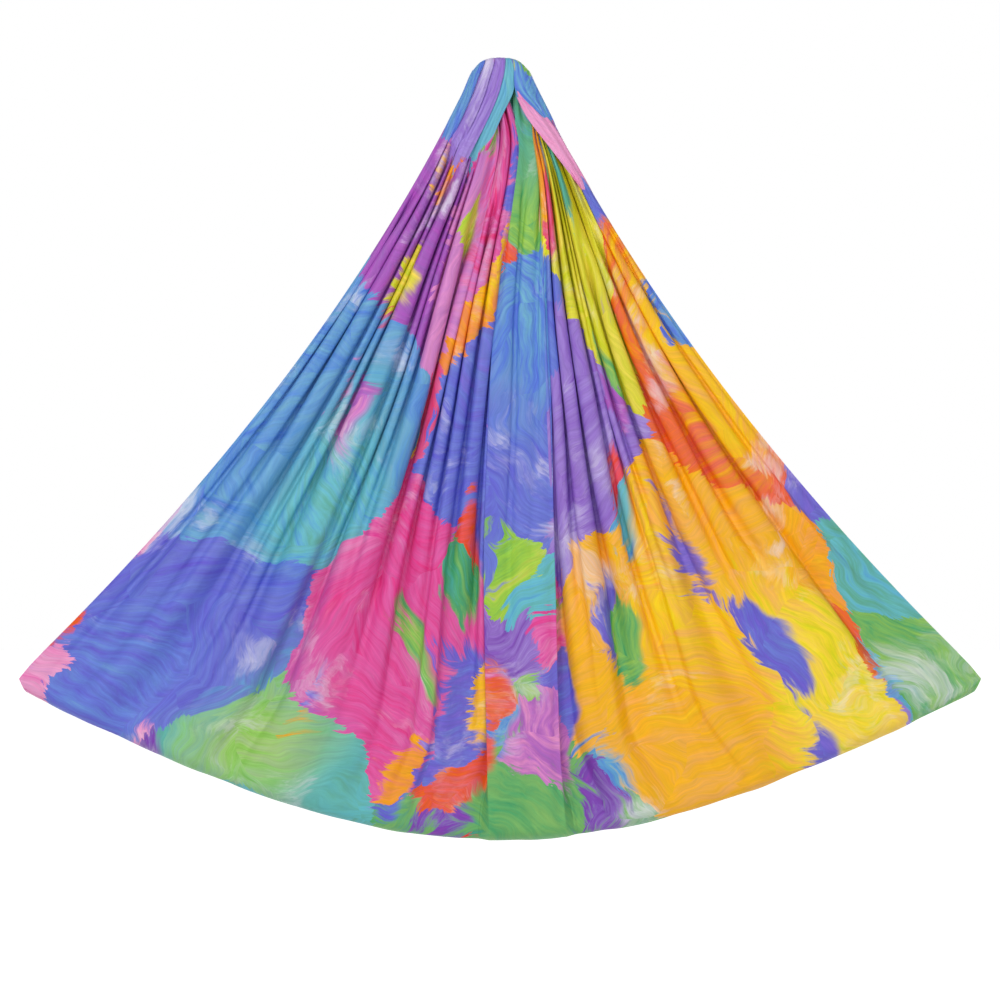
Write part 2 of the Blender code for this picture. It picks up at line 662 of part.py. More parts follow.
def main():
    """Build the hammock."""
    clear_scene()
    parts = new_collection(ASSEMBLY_NAME)
    cutters = new_collection("cutters")
    steel = new_material("forged_steel", (0.50, 0.51, 0.53), 0.32, 1.0)
    alloy = new_material("anodised_sleeve", (0.16, 0.17, 0.19), 0.42, 1.0)
    tricot = new_material("nylon_tricot", (0.45, 0.26, 0.62), 0.55, 0.0)
    gate_axis = joint_axis("gate_axis", parts, (BOW_RADIUS, 0.0, HINGE_Z))
    sleeve_axis = joint_axis("sleeve_axis", parts, (BOW_RADIUS, 0.0, HINGE_Z + SLEEVE_REST), gate_axis)
    sling_axis = joint_axis("sling_axis", parts, (0.0, 0.0, LOWER_BAR_Z))
    leg_axis = joint_axis("front_leg_axis", parts, (0.0, 0.0, CROWN_TOP - ROLL_HEIGHT), sling_axis)
    bpy.context.view_layer.update()

    carabiner_body(parts, cutters, steel)
    gate(parts, cutters, steel, gate_axis)
    pins(parts, steel, gate_axis)
    gate_inside(parts, steel, gate_axis)
    sleeve(parts, cutters, alloy, sleeve_axis)
    leg("front_leg", parts, -1, tricot, leg_axis)
    leg("back_leg", parts, 1, tricot, sling_axis)
    seat_fold(parts, tricot, sling_axis)
    gathered_ends(parts, tricot, sling_axis)


main()
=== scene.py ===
"""Aerial hammock, dressed: one printed sheet hung as a doubled sling from a hidden carabiner.

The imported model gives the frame: metres, +X across the sling, the front leg facing -Y, +Z up, and
the origin at the inner crown of the carabiner's top bow. The sheet is worked out as one grid of
points, from the front leg's lining round the trough to the back leg's, and is then cut where the
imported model's bodies part.
"""

import logging
import math
from dataclasses import dataclass, field
from enum import Enum

import bmesh
import bpy
import numpy as np
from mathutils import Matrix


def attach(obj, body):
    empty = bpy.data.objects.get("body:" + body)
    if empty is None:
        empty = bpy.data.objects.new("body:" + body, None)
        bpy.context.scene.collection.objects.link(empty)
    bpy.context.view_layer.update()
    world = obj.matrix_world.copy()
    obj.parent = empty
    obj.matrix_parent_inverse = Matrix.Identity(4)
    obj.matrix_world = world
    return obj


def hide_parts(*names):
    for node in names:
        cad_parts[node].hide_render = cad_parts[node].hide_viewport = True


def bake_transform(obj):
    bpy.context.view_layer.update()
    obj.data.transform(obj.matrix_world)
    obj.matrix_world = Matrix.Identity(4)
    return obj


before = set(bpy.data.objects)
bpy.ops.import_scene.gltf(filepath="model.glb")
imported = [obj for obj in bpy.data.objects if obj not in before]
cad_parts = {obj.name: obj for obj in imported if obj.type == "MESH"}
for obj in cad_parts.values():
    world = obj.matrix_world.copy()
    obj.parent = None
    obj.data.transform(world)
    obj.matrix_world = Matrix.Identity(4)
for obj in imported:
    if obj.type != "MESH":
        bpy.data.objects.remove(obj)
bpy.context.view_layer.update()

LOG = logging.getLogger("aerial_hammock")

Array = np.ndarray
Socket = bpy.types.NodeSocket
Tree = bpy.types.NodeTree
Node = bpy.types.Node
Material = bpy.types.Material
Piece = bpy.types.Object
Pair = tuple[float, float]
Triple = tuple[float, float, float]

# Settings that several nodes share.
SMOOTH = {"interpolation_type": "SMOOTHSTEP"}
COLOURS = {"data_type": "RGBA"}


class Body(Enum):
    """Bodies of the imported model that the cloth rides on. The value is the body's name."""

    CARABINER = "carabiner"
    GATE = "gate"
    SLEEVE = "sleeve"
    SLING = "sling"
    FRONT = "front"


class Side(Enum):
    """The two legs of the sling. The value is the sign of Y on that side."""

    FRONT = -1
    BACK = 1

    @property
    def body(self) -> Body:
        """Give the body that the leg rides on."""
        return Body.FRONT if self is Side.FRONT else Body.SLING

    @property
    def word(self) -> str:
        """Give the leg's name as the pieces use it."""
        return self.name.lower()


def linear(colour: str) -> tuple[float, float, float, float]:
    """Turn an sRGB hex colour into linear red, green, blue and an alpha of 1.

    Args:
        colour: six hex digits after a hash sign.

    Returns:
        The four linear values, by the sRGB transfer curve.
    """
    parts = [int(colour[place:place + 2], 16) / 255 for place in (1, 3, 5)]
    curve = [part / 12.92 if part <= 0.04045 else ((part + 0.055) / 1.055) ** 2.4 for part in parts]
    return curve[0], curve[1], curve[2], 1.0


def add_node(tree: Tree, kind: str, settings: dict | None = None,
             links: dict | None = None) -> Node:
    """Add a node with its settings and what feeds it.

    Args:
        tree: the material's node tree.
        kind: the node's type name, without the ShaderNode that each begins with.
        settings: properties of the node by name.
        links: what each input gets, by its name or number: a value, a feeding socket, or a
            feeding node, whose first output is taken.

    Returns:
        The new node.
    """
    node = tree.nodes.new("ShaderNode" + kind)
    for name, value in (settings or {}).items():
        setattr(node, name, value)
    for name, value in (links or {}).items():
        value = value.outputs[0] if isinstance(value, Node) else value
        if isinstance(value, Socket):
            tree.links.new(value, node.inputs[name])
        else:
            node.inputs[name].default_value = value
    return node


def new_material(name: str) -> tuple[Material, Tree, Node]:
    """Make a material that has nodes.

    Args:
        name: the material's name.

    Returns:
        The material, its node tree and its Principled shader.
    """
    material = bpy.data.materials.new(name)
    material.use_nodes = True
    return material, material.node_tree, material.node_tree.nodes["Principled BSDF"]


def add_object(name: str, data: bpy.types.ID) -> Piece:
    """Make an object and link it to the scene.

    Args:
        name: the object's name.
        data: its mesh, lamp or camera.

    Returns:
        The object.
    """
    thing = bpy.data.objects.new(name, data)
    bpy.context.scene.collection.objects.link(thing)
    return thing


def ease(value: Array | float) -> Array:
    """Go smoothly from 0 to 1 while the value does: three squares less two cubes."""
    value = np.clip(value, 0.0, 1.0)
    return value * value * (3 - 2 * value)


def rising(value: Array, start: Array | float, run: float) -> Array:
    """Go smoothly from 0 to 1 over a run that begins at the start."""
    return ease((value - start) / run)


def joined(parts: list[Array]) -> Array:
    """Join stretches along their last axis, each without the place that the one before ends at."""
    return np.concatenate([parts[0]] + [part[..., 1:] for part in parts[1:]], axis=-1)


def beside(*parts: Array) -> Array:
    """Put grids side by side, along the second axis."""
    return np.concatenate(parts, axis=1)


def stacked(*parts: Array) -> Array:
    """Stack coordinates by row and column into points, each spread over the whole grid."""
    return np.stack(np.broadcast_arrays(*parts), axis=2)


def distances(line: Array) -> Array:
    """Give how far each point of a line lies from its first one, along the line."""
    return np.concatenate([[0.0], np.cumsum(np.linalg.norm(np.diff(line, axis=0), axis=1))])


def soft_noise(seed: int, across: Array, along: Array) -> Array:
    """Give smooth noise from about -1 to 1, with one random value at each whole number.

    Between the whole numbers the four nearest values are mixed by the ease curve, which is value
    noise on a lattice that repeats every 64 steps.

    Args:
        seed: picks the lattice.
        across: places along the first axis, in steps of the lattice.
        along: places along the second axis, of the same shape.

    Returns:
        The noise at each place.
    """
    size = 64
    lattice = np.random.default_rng(seed).uniform(-1, 1, (size, size))
    across, along = np.broadcast_arrays(across, along)
    column = np.floor(across).astype(int)
    row = np.floor(along).astype(int)
    share_x = ease(across - column)
    share_y = ease(along - row)
    column, row = column % size, row % size
    near = lattice[column, row] * (1 - share_x) + lattice[(column + 1) % size, row] * share_x
    far = (lattice[column, (row + 1) % size] * (1 - share_x)
           + lattice[(column + 1) % size, (row + 1) % size] * share_x)
    return near * (1 - share_y) + far * share_y


def running_sum(values: Array, steps: Array) -> Array:
    """Integrate along the last axis by the trapezium rule, from 0 at the first place.

    Args:
        values: what is summed, by place.
        steps: the way between the places.

    Returns:
        The sum up to each place.
    """
    middle = (values[..., 1:] + values[..., :-1]) / 2 * steps
    return np.concatenate([np.zeros((*middle.shape[:-1], 1)), np.cumsum(middle, axis=-1)], axis=-1)


@dataclass(frozen=True)
class Outline:
    """The sling's outline, in metres: it follows the photograph, up to 17 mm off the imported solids.

    A run is where something begins and over how much of the leg it grows, in shares of the leg.
    """

    hang_drop: float = 2.054
    half_span: float = 1.298
    corner_rise: float = 0.393
    arc_fullness: float = 1.347
    crown_top: float = 0.0185
    crown_half_width: float = 0.0750
    crown_lean: float = 0.0040
    crown_height: float = 0.0306
    crown_power: int = 3
    crown_draw: float = 0.065
    roll_height: float = 0.010
    flare_share: float = 0.372
    corner_draw: float = 0.009
    corner_power: int = 9
    corner_run: Pair = (0.97, 0.03)
    trough_radius: float = 0.040
    head_edge_depth: float = 0.0365
    head_bulge: float = 0.0105
    head_run: Pair = (0.10, 0.20)
    belly: float = 0.0075
    belly_rise: Pair = (0.0, 0.35)
    belly_fall: Pair = (0.55, 0.40)
    lining_depth: float = 0.0265
    lining_foot_z: float = -0.118
    lining_foot_half_width: float = 0.024
    measured_places: int = 65

    def hem(self, across: Array) -> tuple[Array, Array, Array, Array]:
        """Give the trough's lowest line and its upward normal.

        The line rises from the middle to the corners as a square term less a fourth-power term.

        Args:
            across: places across the sling, from -1 to 1.

        Returns:
            x, z, and the x and z of the unit normal that points up into the sling.
        """
        fullness = self.arc_fullness
        x = self.half_span * across
        z = -self.hang_drop + self.corner_rise * (fullness * across ** 2
                                                  - (fullness - 1) * across ** 4)
        slope = self.corner_rise / self.half_span * (2 * fullness * across
                                                     - 4 * (fullness - 1) * across ** 3)
        length = np.sqrt(1 + slope ** 2)
        return x, z, -slope / length, 1 / length

    def crown(self, across: Array) -> Array:
        """Give the height of the head's rounded top, which falls to its ends by a third power."""
        return self.crown_top - self.crown_height * np.abs(across) ** self.crown_power

    def crown_at(self, x: Array) -> Array:
        """Give the height of a leg's first row.

        The head's x is its half width times the place, and to the right the lean times the
        place's square more. That is solved for the place.

        Args:
            x: places across the sling, in metres.

        Returns:
            The height at each.
        """
        width, lean = self.crown_half_width, self.crown_lean
        right = (np.sqrt(width ** 2 + 4 * lean * np.clip(x, 0, None)) - width) / (2 * lean)
        across = np.where(x > 0, right, x / width)
        return self.crown(np.clip(across, -1, 1)) - self.roll_height

    def place(self, across: Array, share: Array) -> tuple[Array, Array, Array]:
        """Give the middle surface of a leg, before its folds.

        Each line runs from the crown to the trough's edge. Its height falls evenly, and its x
        opens by a blend of an even and a squared flare. The depth starts as an oval head, stands
        out in a slight belly and settles at the trough's radius. The corners are a little blunt.

        Args:
            across: places across the sling, from -1 to 1.
            share: shares of the way down, of a shape that fits across.

        Returns:
            x, z and the depth from the middle plane.
        """
        top_x = self.crown_half_width * across + self.crown_lean * np.clip(across, 0, 1) ** 2
        top_z = self.crown(across) - self.roll_height
        hem_x, hem_z, normal_x, normal_z = self.hem(across)
        foot_x = hem_x + self.trough_radius * normal_x
        foot_z = hem_z + self.trough_radius * normal_z
        flare = (1 - self.flare_share) * share + self.flare_share * share ** 2
        oval = np.sqrt(np.clip(1 - across ** 2, 0, 1))
        settled = rising(share, *self.head_run)
        head = self.head_edge_depth + self.head_bulge * oval
        belly = self.belly * rising(share, *self.belly_rise) * (1 - rising(share, *self.belly_fall))
        blunt = self.corner_draw * across ** self.corner_power * rising(share, *self.corner_run)
        return (top_x + (foot_x - top_x) * flare - blunt, top_z + (foot_z - top_z) * share,
                head + (self.trough_radius - head) * settled + belly)

    def row_lengths(self, share: Array) -> Array:
        """Give each row's length across the sling, from one free edge to the other.

        Args:
            share: shares of the way down.

        Returns:
            The lengths in metres.
        """
        across = np.linspace(-1, 1, self.measured_places)[None, :]
        x, z, _ = self.place(across, share[:, None])
        return np.hypot(np.diff(x, axis=1), np.diff(z, axis=1)).sum(axis=1)


@dataclass(frozen=True)
class CentrePleat:
    """The flat pleat down the sling's middle, with its edges tucked under, in metres of cloth."""

    face_cloth: float = 0.212
    tuck_turn: float = 0.0085
    tuck_run: float = 0.027
    half_width: float = 0.100
    head_half_width: float = 0.006
    start_share: float = 0.02
    opening_share: float = 0.23
    foot_share: float = 0.055
    lean_share: float = 0.445
    turn_share: float = 0.22
    head_strength: float = 0.45
    closing_run: Pair = (0.03, 0.10)
    loosened: float = 0.72
    loosening_run: Pair = (0.86, 0.14)

    @property
    def tuck_cloth(self) -> float:
        """Cloth that one tuck takes: two turns and the run between them."""
        return 2 * self.tuck_turn + self.tuck_run

    def edges(self, share: Array, half_length: Array) -> tuple[Array, Array]:
        """Give the pleat's edges, across the sling from -1 to 1.

        The pleat opens from a point at the head by an exponential, leans to the right there, and
        comes back to the middle lower down.

        Args:
            share: shares of the way down the leg.
            half_length: half of each row's length.

        Returns:
            The left and right edge of each row.
        """
        centre = self.foot_share + self.lean_share / (1 + (share / self.turn_share) ** 3)
        opened = 1 - np.exp(-np.clip(share - self.start_share, 0, None) / self.opening_share)
        half = self.head_half_width + (self.half_width - self.head_half_width) * opened
        return centre - half / half_length, centre + half / half_length

    def strength(self, share: Array) -> Array:
        """Tell how far the tucks are turned: half at the head, whole below, loose at the trough.

        Args:
            share: shares of the way down.

        Returns:
            How far, from 0 to 1.
        """
        closed = self.head_strength + (1 - self.head_strength) * rising(share, *self.closing_run)
        return closed * (1 - self.loosened * rising(share, *self.loosening_run))


@dataclass(frozen=True)
class Gather:
    """A stretch of cloth that is gathered into folds between two lines of the sling.

    A fold is a face with a narrow valley at each side. The even valleys run from the head down,
    and the odd ones begin lower, so each broad fold at the head parts into two. A run is where
    something begins and over how much of the leg it grows, in shares of the leg. A rate is how
    many steps of a noise's lattice go to one fold, and to the whole way down.
    """

    seed: int
    length: float
    count: int
    unevenness: float = 0.42
    sharpness: float = 1.4
    valley_round: float = 0.13
    wander: float = 0.22
    wander_rate: Pair = (1.7, 4.5)
    births: Pair = (0.04, 0.24)
    birth_run: float = 0.16
    fades: Pair = (0.50, 0.88)
    fade_run: float = 0.34
    faded: float = 0.60
    vigour: Pair = (0.70, 1.10)
    broad: float = 0.55
    broad_run: Pair = (0.48, 0.34)
    broad_folds: Pair = (3.3, 1.9)
    second_broad: float = 0.6
    second_phase: float = 1.3
    crumple: float = 0.20
    crumple_rate: Pair = (2.3, 5)
    edge_run: float = 0.018
    quiet: float = 0.0
    quiet_run: Pair = (0.12, 0.25)

    def valleys(self) -> Array:
        """Give the valleys' places, with uneven widths between them.

        Returns:
            Metres along the cloth, both ends included.
        """
        chance = np.random.default_rng(self.seed)
        widths = 1 + self.unevenness * chance.uniform(-1, 1, self.count)
        return np.concatenate([[0.0], np.cumsum(widths)]) / widths.sum() * self.length

    def layout(self, share: Array) -> Array:
        """Give the valleys' places across the stretch, from 0 to 1, row by row.

        Each valley keeps the share that it has of the cloth, and wanders a little on its way down.

        Args:
            share: shares of the way down.

        Returns:
            The places, one row for each share.
        """
        marks = np.arange(self.count + 1.0)[None, :]
        inside = np.sin(math.pi * marks / self.count).clip(0, 0.5) * 2
        across, down = self.wander_rate
        drift = soft_noise(self.seed + 3, marks * across, share[:, None] * down)
        return self.valleys() / self.length + self.wander / self.count * drift * inside

    def wave(self, cloth: Array, share: Array, leg: Side) -> Array:
        """Give the heading's wave, which is how much the cloth turns in and out at each place.

        Between two valleys the wave is a power of a cosine, so that it is strong beside the
        valleys and nearly nothing on the face. Lower down the valleys die out one by one, and
        broad waves take their place.

        Args:
            cloth: places in metres along the stretch of cloth.
            share: shares of the way down, as a column.
            leg: the leg that the folds are on.

        Returns:
            The wave, one row for each share.
        """
        chance = np.random.default_rng(self.seed + 7 * leg.value)
        number = np.interp(cloth, self.valleys(), np.arange(self.count + 1.0))
        nearest = np.rint(number).astype(int)
        across_fold = np.cos(math.pi * (number - np.floor(number)))
        face = np.sign(across_fold) * np.abs(across_fold) ** self.sharpness
        face = face * ease(np.abs(number - nearest) / self.valley_round)
        births = np.where(np.arange(self.count + 1) % 2 == 0, -1.0,
                          chance.uniform(*self.births, self.count + 1))
        fades = chance.uniform(*self.fades, self.count + 1)
        vigour = chance.uniform(*self.vigour, self.count + 1)
        born = rising(share, births[nearest][None, :], self.birth_run)
        gone = rising(share, fades[nearest][None, :], self.fade_run)
        alive = born * (1 - self.faded * gone) * vigour[nearest][None, :]
        turn = 2 * math.pi * number[None, :]
        long, short = self.broad_folds
        broad = (np.cos(turn / long + self.seed)
                 + self.second_broad * np.cos(turn / short + self.second_phase))
        across, down = self.crumple_rate
        crumple = soft_noise(self.seed + 40, number[None, :] * across, share * down)
        wave = (alive * face[None, :] + self.broad * rising(share, *self.broad_run) * broad
                + self.crumple * crumple)
        edge = np.minimum(cloth, self.length - cloth)[None, :]
        return (wave * ease(edge / self.edge_run)
                * (1 - self.quiet * rising(share, *self.quiet_run)))


@dataclass
class SlingSheet:
    """The whole sheet as one grid: its places, its flat coordinates and its pieces.

    A run is where something begins and over how much of the leg it grows, in shares of the leg.
    Steps are the metres across and down for one step of a noise's lattice, and a rate is how many
    steps of it go to a metre.
    """

    outline: Outline = field(default_factory=Outline)
    pleat: CentrePleat = field(default_factory=CentrePleat)
    width: float = 2.80
    wall: float = 0.0005
    left_share: float = 0.527
    leg_rows: int = 62
    first_row_step: float = 0.62
    trough_rows: int = 25
    roll_rows: int = 9
    lining_rows: int = 4
    cloth_step: float = 0.0046
    turn_step: float = 0.0014
    steepest: float = 2.05
    drift_window: float = 0.28
    head_swing: float = 0.0100
    leg_swing: float = 0.0265
    foot_swing: float = 0.0150
    leg_swing_run: Pair = (0.0, 0.25)
    foot_swing_run: Pair = (0.70, 0.30)
    swing_reach: float = 1.24
    press_power: int = 6
    faintest_wave: float = 0.2
    strongest_wave: float = 4.0
    halvings: int = 26
    spread_share: float = 1.12
    head_sink: float = 0.010
    tuck_opening: Pair = (0.03, 0.14)
    flat_tuck: float = 0.25
    pleat_sink: float = 0.45
    face_swing: float = 0.5
    tie_run: float = 0.085
    tie_depth: float = 0.0045
    edge_run: float = 0.20
    edge_calm: float = 0.5
    leg_wander: float = 0.010
    wander_rate: Pair = (3.1, 2.2)
    wander_run: Pair = (0.0, 0.2)
    crease: float = 0.0014
    crease_steps: Pair = (0.034, 0.17)
    fine_crease: float = 0.6
    fine_crease_steps: Pair = (0.016, 0.11)
    smooth_foot: float = 0.1
    corner_draw_in: float = 0.030
    corner_power: int = 10
    fall_of_folds: float = 0.12
    closing_start: float = 0.4
    closing_power: int = 6

    def __post_init__(self) -> None:
        """Share the cloth out: left gather, left tuck, face, right tuck, right gather."""
        pleat = self.pleat
        gathered = self.width - pleat.face_cloth - 2 * pleat.tuck_cloth
        left = gathered * self.left_share
        self.lines = np.cumsum([0.0, left, pleat.tuck_cloth, pleat.face_cloth, pleat.tuck_cloth,
                                gathered - left])
        self.left = Gather(seed=11, length=left, count=14)
        self.face = Gather(seed=23, length=pleat.face_cloth, count=3, quiet=0.75)
        self.right = Gather(seed=35, length=gathered - left, count=12)
        self.columns = self.column_places()

    def column_places(self) -> list[Array]:
        """Give each stretch's places along the cloth: even steps, and finer ones in the tucks.

        Returns:
            The places in metres, one row for each stretch.
        """
        places = []
        for index, length in enumerate(np.diff(self.lines)):
            step = self.turn_step if index in (1, 3) else self.cloth_step
            places.append(np.linspace(0, length, int(length / step) + 1))
        return places

    def swing_limit(self, share: Array) -> Array:
        """Give the most that the folds may stand out from the middle surface.

        Args:
            share: shares of the way down.

        Returns:
            The limit in metres, row by row.
        """
        upper = (self.head_swing
                 + (self.leg_swing - self.head_swing) * rising(share, *self.leg_swing_run))
        return upper + (self.foot_swing - upper) * rising(share, *self.foot_swing_run)

    def gathered(self, gather: Gather, cloth: Array, share: Array, room: Array,
                 leg: Side) -> tuple[Array, Array]:
        """Fold a stretch of cloth until it fills its room.

        The cloth's heading is a wave whose strength is found by halving: its cosine, summed along
        the cloth, gives the way across, and its sine gives the swing in depth. Where the swing
        would pass its limit, the strength stays at the limit and the folds are pressed together.
        Then each fold is shifted and pressed evenly so that its valleys lie on their lines.

        Args:
            gather: the folds.
            cloth: places along the cloth.
            share: shares of the way down.
            room: the width to fill, row by row.
            leg: the leg.

        Returns:
            The share of the room at each place, and the swing in depth.
        """
        wave = gather.wave(cloth, share[:, None], leg)
        wave = wave / np.abs(wave).max(axis=1, keepdims=True).clip(self.faintest_wave)
        steps = np.diff(cloth)
        limit = self.swing_limit(share)
        low = np.zeros(len(share))
        high = np.full(len(share), self.strongest_wave)
        for _ in range(self.halvings):
            middle = (low + high) / 2
            way, swing = self.carried(wave, middle, steps)
            spread = np.std(swing, axis=1) * self.spread_share
            full = (way[:, -1] > room) & (spread < limit)
            low = np.where(full, middle, low)
            high = np.where(full, high, middle)
        way, swing = self.carried(wave, low, steps)
        way = way / way[:, -1:]
        lines = gather.valleys()
        just_before = 0.999999 * lines
        stray = gather.layout(share) - way[:, np.searchsorted(cloth, just_before)]
        marks = np.interp(cloth, lines, np.arange(len(lines)))
        hats = np.clip(1 - np.abs(marks[None, :] - np.arange(len(lines))[:, None]), 0, 1)
        reach = self.swing_reach * limit[:, None]
        swing = swing / (1 + (swing / reach) ** self.press_power) ** (1 / self.press_power)
        return way + stray @ hats, swing

    def carried(self, wave: Array, strength: Array, steps: Array) -> tuple[Array, Array]:
        """Carry the cloth along its heading, and take the slow drift out of its swing.

        The drift is the swing's mean over a window of a few folds, so the folds stay as they are.
        Beyond its ends the swing goes on as its own half turn about the end.

        Args:
            wave: the heading's wave, row by row.
            strength: how strong the wave is in each row.
            steps: the cloth between the places.

        Returns:
            The way across and the swing in depth, in metres.
        """
        heading = self.steepest * np.tanh(strength[:, None] * wave / self.steepest)
        way = running_sum(np.cos(heading), steps)
        swing = running_sum(np.sin(heading), steps)
        half = max(1, int(self.drift_window / steps[0] / 2))
        before = 2 * swing[:, :1] - swing[:, half:0:-1]
        after = 2 * swing[:, -1:] - swing[:, -2:-half - 2:-1]
        total = np.cumsum(beside(before, swing, after), axis=1)
        total = beside(np.zeros((len(swing), 1)), total)
        drift = (total[:, 2 * half:] - total[:, :-2 * half]) / (2 * half)
        return way, swing - drift[:, :swing.shape[1]]

    def tucked(self, cloth: Array, share: Array) -> tuple[Array, Array]:
        """Fold one tuck: the heading turns half round, runs back and turns forward again.

        Both turns bend the same way out, so the cloth ends up above where it began.

        Args:
            cloth: places along the tuck's cloth.
            share: shares of the way down.

        Returns:
            The way across in metres and the rise, from 0 where the tuck begins.
        """
        pleat = self.pleat
        into = ease(cloth / pleat.tuck_turn)
        back = ease((cloth - pleat.tuck_turn - pleat.tuck_run) / pleat.tuck_turn)
        heading = math.pi * (into - back)[None, :] * pleat.strength(share)[:, None]
        steps = np.diff(cloth)
        return running_sum(np.cos(heading), steps), running_sum(np.sin(heading), steps)

    def leg_fold(self, share: Array, leg: Side) -> tuple[Array, Array]:
        """Work out where every column lies across a leg and how far it stands out.

        Args:
            share: shares of the way down the leg.
            leg: the leg.

        Returns:
            Places across from -1 to 1, and how far the cloth stands out, each by row and column.
        """
        half = self.outline.row_lengths(share) / 2
        left_edge, right_edge = self.pleat.edges(share, half)
        tuck_way, tuck_rise = self.tucked(self.columns[1], share)
        opened = rising(share, *self.tuck_opening)[:, None]
        tuck_rise = tuck_rise * (self.flat_tuck + (1 - self.flat_tuck) * opened)
        under = -tuck_way[:, -1] / half
        left_end = left_edge + under
        right_start = right_edge - under
        left_share, left_swing = self.gathered(self.left, self.columns[0], share,
                                               (left_end + 1) * half, leg)
        face_share, face_swing = self.gathered(self.face, self.columns[2], share,
                                               (right_edge - left_edge) * half, leg)
        right_share, right_swing = self.gathered(self.right, self.columns[4], share,
                                                 (1 - right_start) * half, leg)
        rise = tuck_rise[:, -1:]
        base = -rise * self.pleat_sink - self.head_sink * (1 - opened)
        parts = [-1 + (left_end + 1)[:, None] * left_share,
                 left_end[:, None] + tuck_way / half[:, None],
                 left_edge[:, None] + (right_edge - left_edge)[:, None] * face_share,
                 right_edge[:, None] + tuck_way / half[:, None],
                 right_start[:, None] + (1 - right_start)[:, None] * right_share]
        outs = [self.tied(left_swing, self.columns[0][-1] - self.columns[0], base),
                base + tuck_rise,
                base + rise + self.face_swing * face_swing,
                base + rise - tuck_rise,
                self.tied(right_swing, self.columns[4], base)]
        return joined(parts), joined(outs)

    def tied(self, swing: Array, inward: Array, base: Array) -> Array:
        """Calm a gather beside the free edge, and tie it down under the pleat.

        Args:
            swing: how far the folds stand out.
            inward: distance along the cloth from the pleat's side.
            base: how far out the cloth lies where it goes under the pleat, row by row.

        Returns:
            How far the gather stands out.
        """
        free = ease(inward[None, :] / self.tie_run)
        from_edge = inward.max() - inward
        calm = 1 - self.edge_calm * ease(1 - from_edge / self.edge_run)[None, :]
        return swing * free * calm + (base - self.tie_depth) * (1 - free)

    def flat_columns(self) -> Array:
        """Give every column's place across the flat sheet, in metres."""
        return joined([start + part for start, part in zip(self.lines, self.columns)])

    def leg_grid(self, leg: Side) -> Array:
        """Give a leg's points from the foot of its lining up, over the crown and down the leg.

        The roll over the crown is half an ellipse from the leg's face to the lining.

        Args:
            leg: the leg.

        Returns:
            Points by row and column.
        """
        outline = self.outline
        even = np.linspace(0, 1, self.leg_rows)
        share = even * (self.first_row_step + (1 - self.first_row_step) * even)
        across, out = self.leg_fold(share, leg)
        share = share[:, None]
        flat = self.flat_columns()[None, :]
        drop = share * outline.hang_drop
        rate_x, rate_z = self.wander_rate
        wander = self.leg_wander * soft_noise(5 + leg.value, flat * rate_x, drop * rate_z)
        edge = np.clip(1 - across ** 2, 0, 1)
        across = across + wander * edge * rising(share, *self.wander_run)
        x, z, depth = outline.place(across, share)
        depth = depth + (out + self.creases(flat, drop, leg) * ease((1 - share) / self.smooth_foot))
        leg_points = stacked(x, leg.value * depth, z)
        top_x, top_z, _ = outline.place(across[:1], share[:1])
        outer = depth[:1]
        angle = np.linspace(math.pi, 0, self.roll_rows + 1)[:-1, None]
        middle = (outer + outline.lining_depth) / 2
        half = (outer - outline.lining_depth) / 2
        roll = stacked(top_x * (1 - outline.crown_draw * np.sin(angle)),
                       leg.value * (middle + half * np.cos(angle)),
                       top_z + outline.roll_height * np.sin(angle))
        down = np.linspace(1, 0, self.lining_rows + 1)[:-1, None]
        foot_x = outline.lining_foot_half_width * np.linspace(-1, 1, across.shape[1])[None, :]
        lining = stacked(
            top_x + (foot_x - top_x) * ease(down), leg.value * (outline.lining_depth + 0 * top_x),
            top_z + (outline.lining_foot_z - top_z) * down)
        return np.concatenate([lining, roll, leg_points])

    def creases(self, flat: Array, drop: Array, leg: Side) -> Array:
        """Give how far the cloth's small creases stand out: coarse noise and less of a finer one.

        Args:
            flat: places across the flat sheet, as a row.
            drop: how far down each row lies, as a column.
            leg: the leg.

        Returns:
            The rise in metres, by row and column.
        """
        coarse, fine = (
            soft_noise(seed + leg.value, flat / across, drop / down)
            for seed, (across, down) in ((60, self.crease_steps), (70, self.fine_crease_steps)))
        return self.crease * (coarse + self.fine_crease * fine)

    def trough_grid(self, edge: Array) -> Array:
        """Sweep the trough: half a turn of the sheet, from the front leg's foot to the back's.

        Each column turns about the trough's centre line with its own radius, the depth that it
        has at the leg's foot. Towards the corners the free edge is drawn in.

        Args:
            edge: the front leg's last row of points.

        Returns:
            Points by row and column, with both legs' last rows at its ends.
        """
        x, depth, z = edge[:, 0], -edge[:, 1], edge[:, 2]
        radius = self.outline.trough_radius
        across = x / self.outline.place(np.array([1.0]), np.array([1.0]))[0]
        _, _, normal_x, normal_z = self.outline.hem(across)
        inward = np.abs(np.clip(across, -1, 1)) ** self.corner_power
        draw = self.corner_draw_in * np.sign(across) * inward
        angle = np.linspace(0, math.pi, self.trough_rows)[:, None]
        fall = (radius + self.fall_of_folds * (depth - radius)) * np.sin(angle)
        return stacked(x - normal_x * fall - draw * np.sin(angle), -depth * np.cos(angle),
                       z - normal_z * fall)

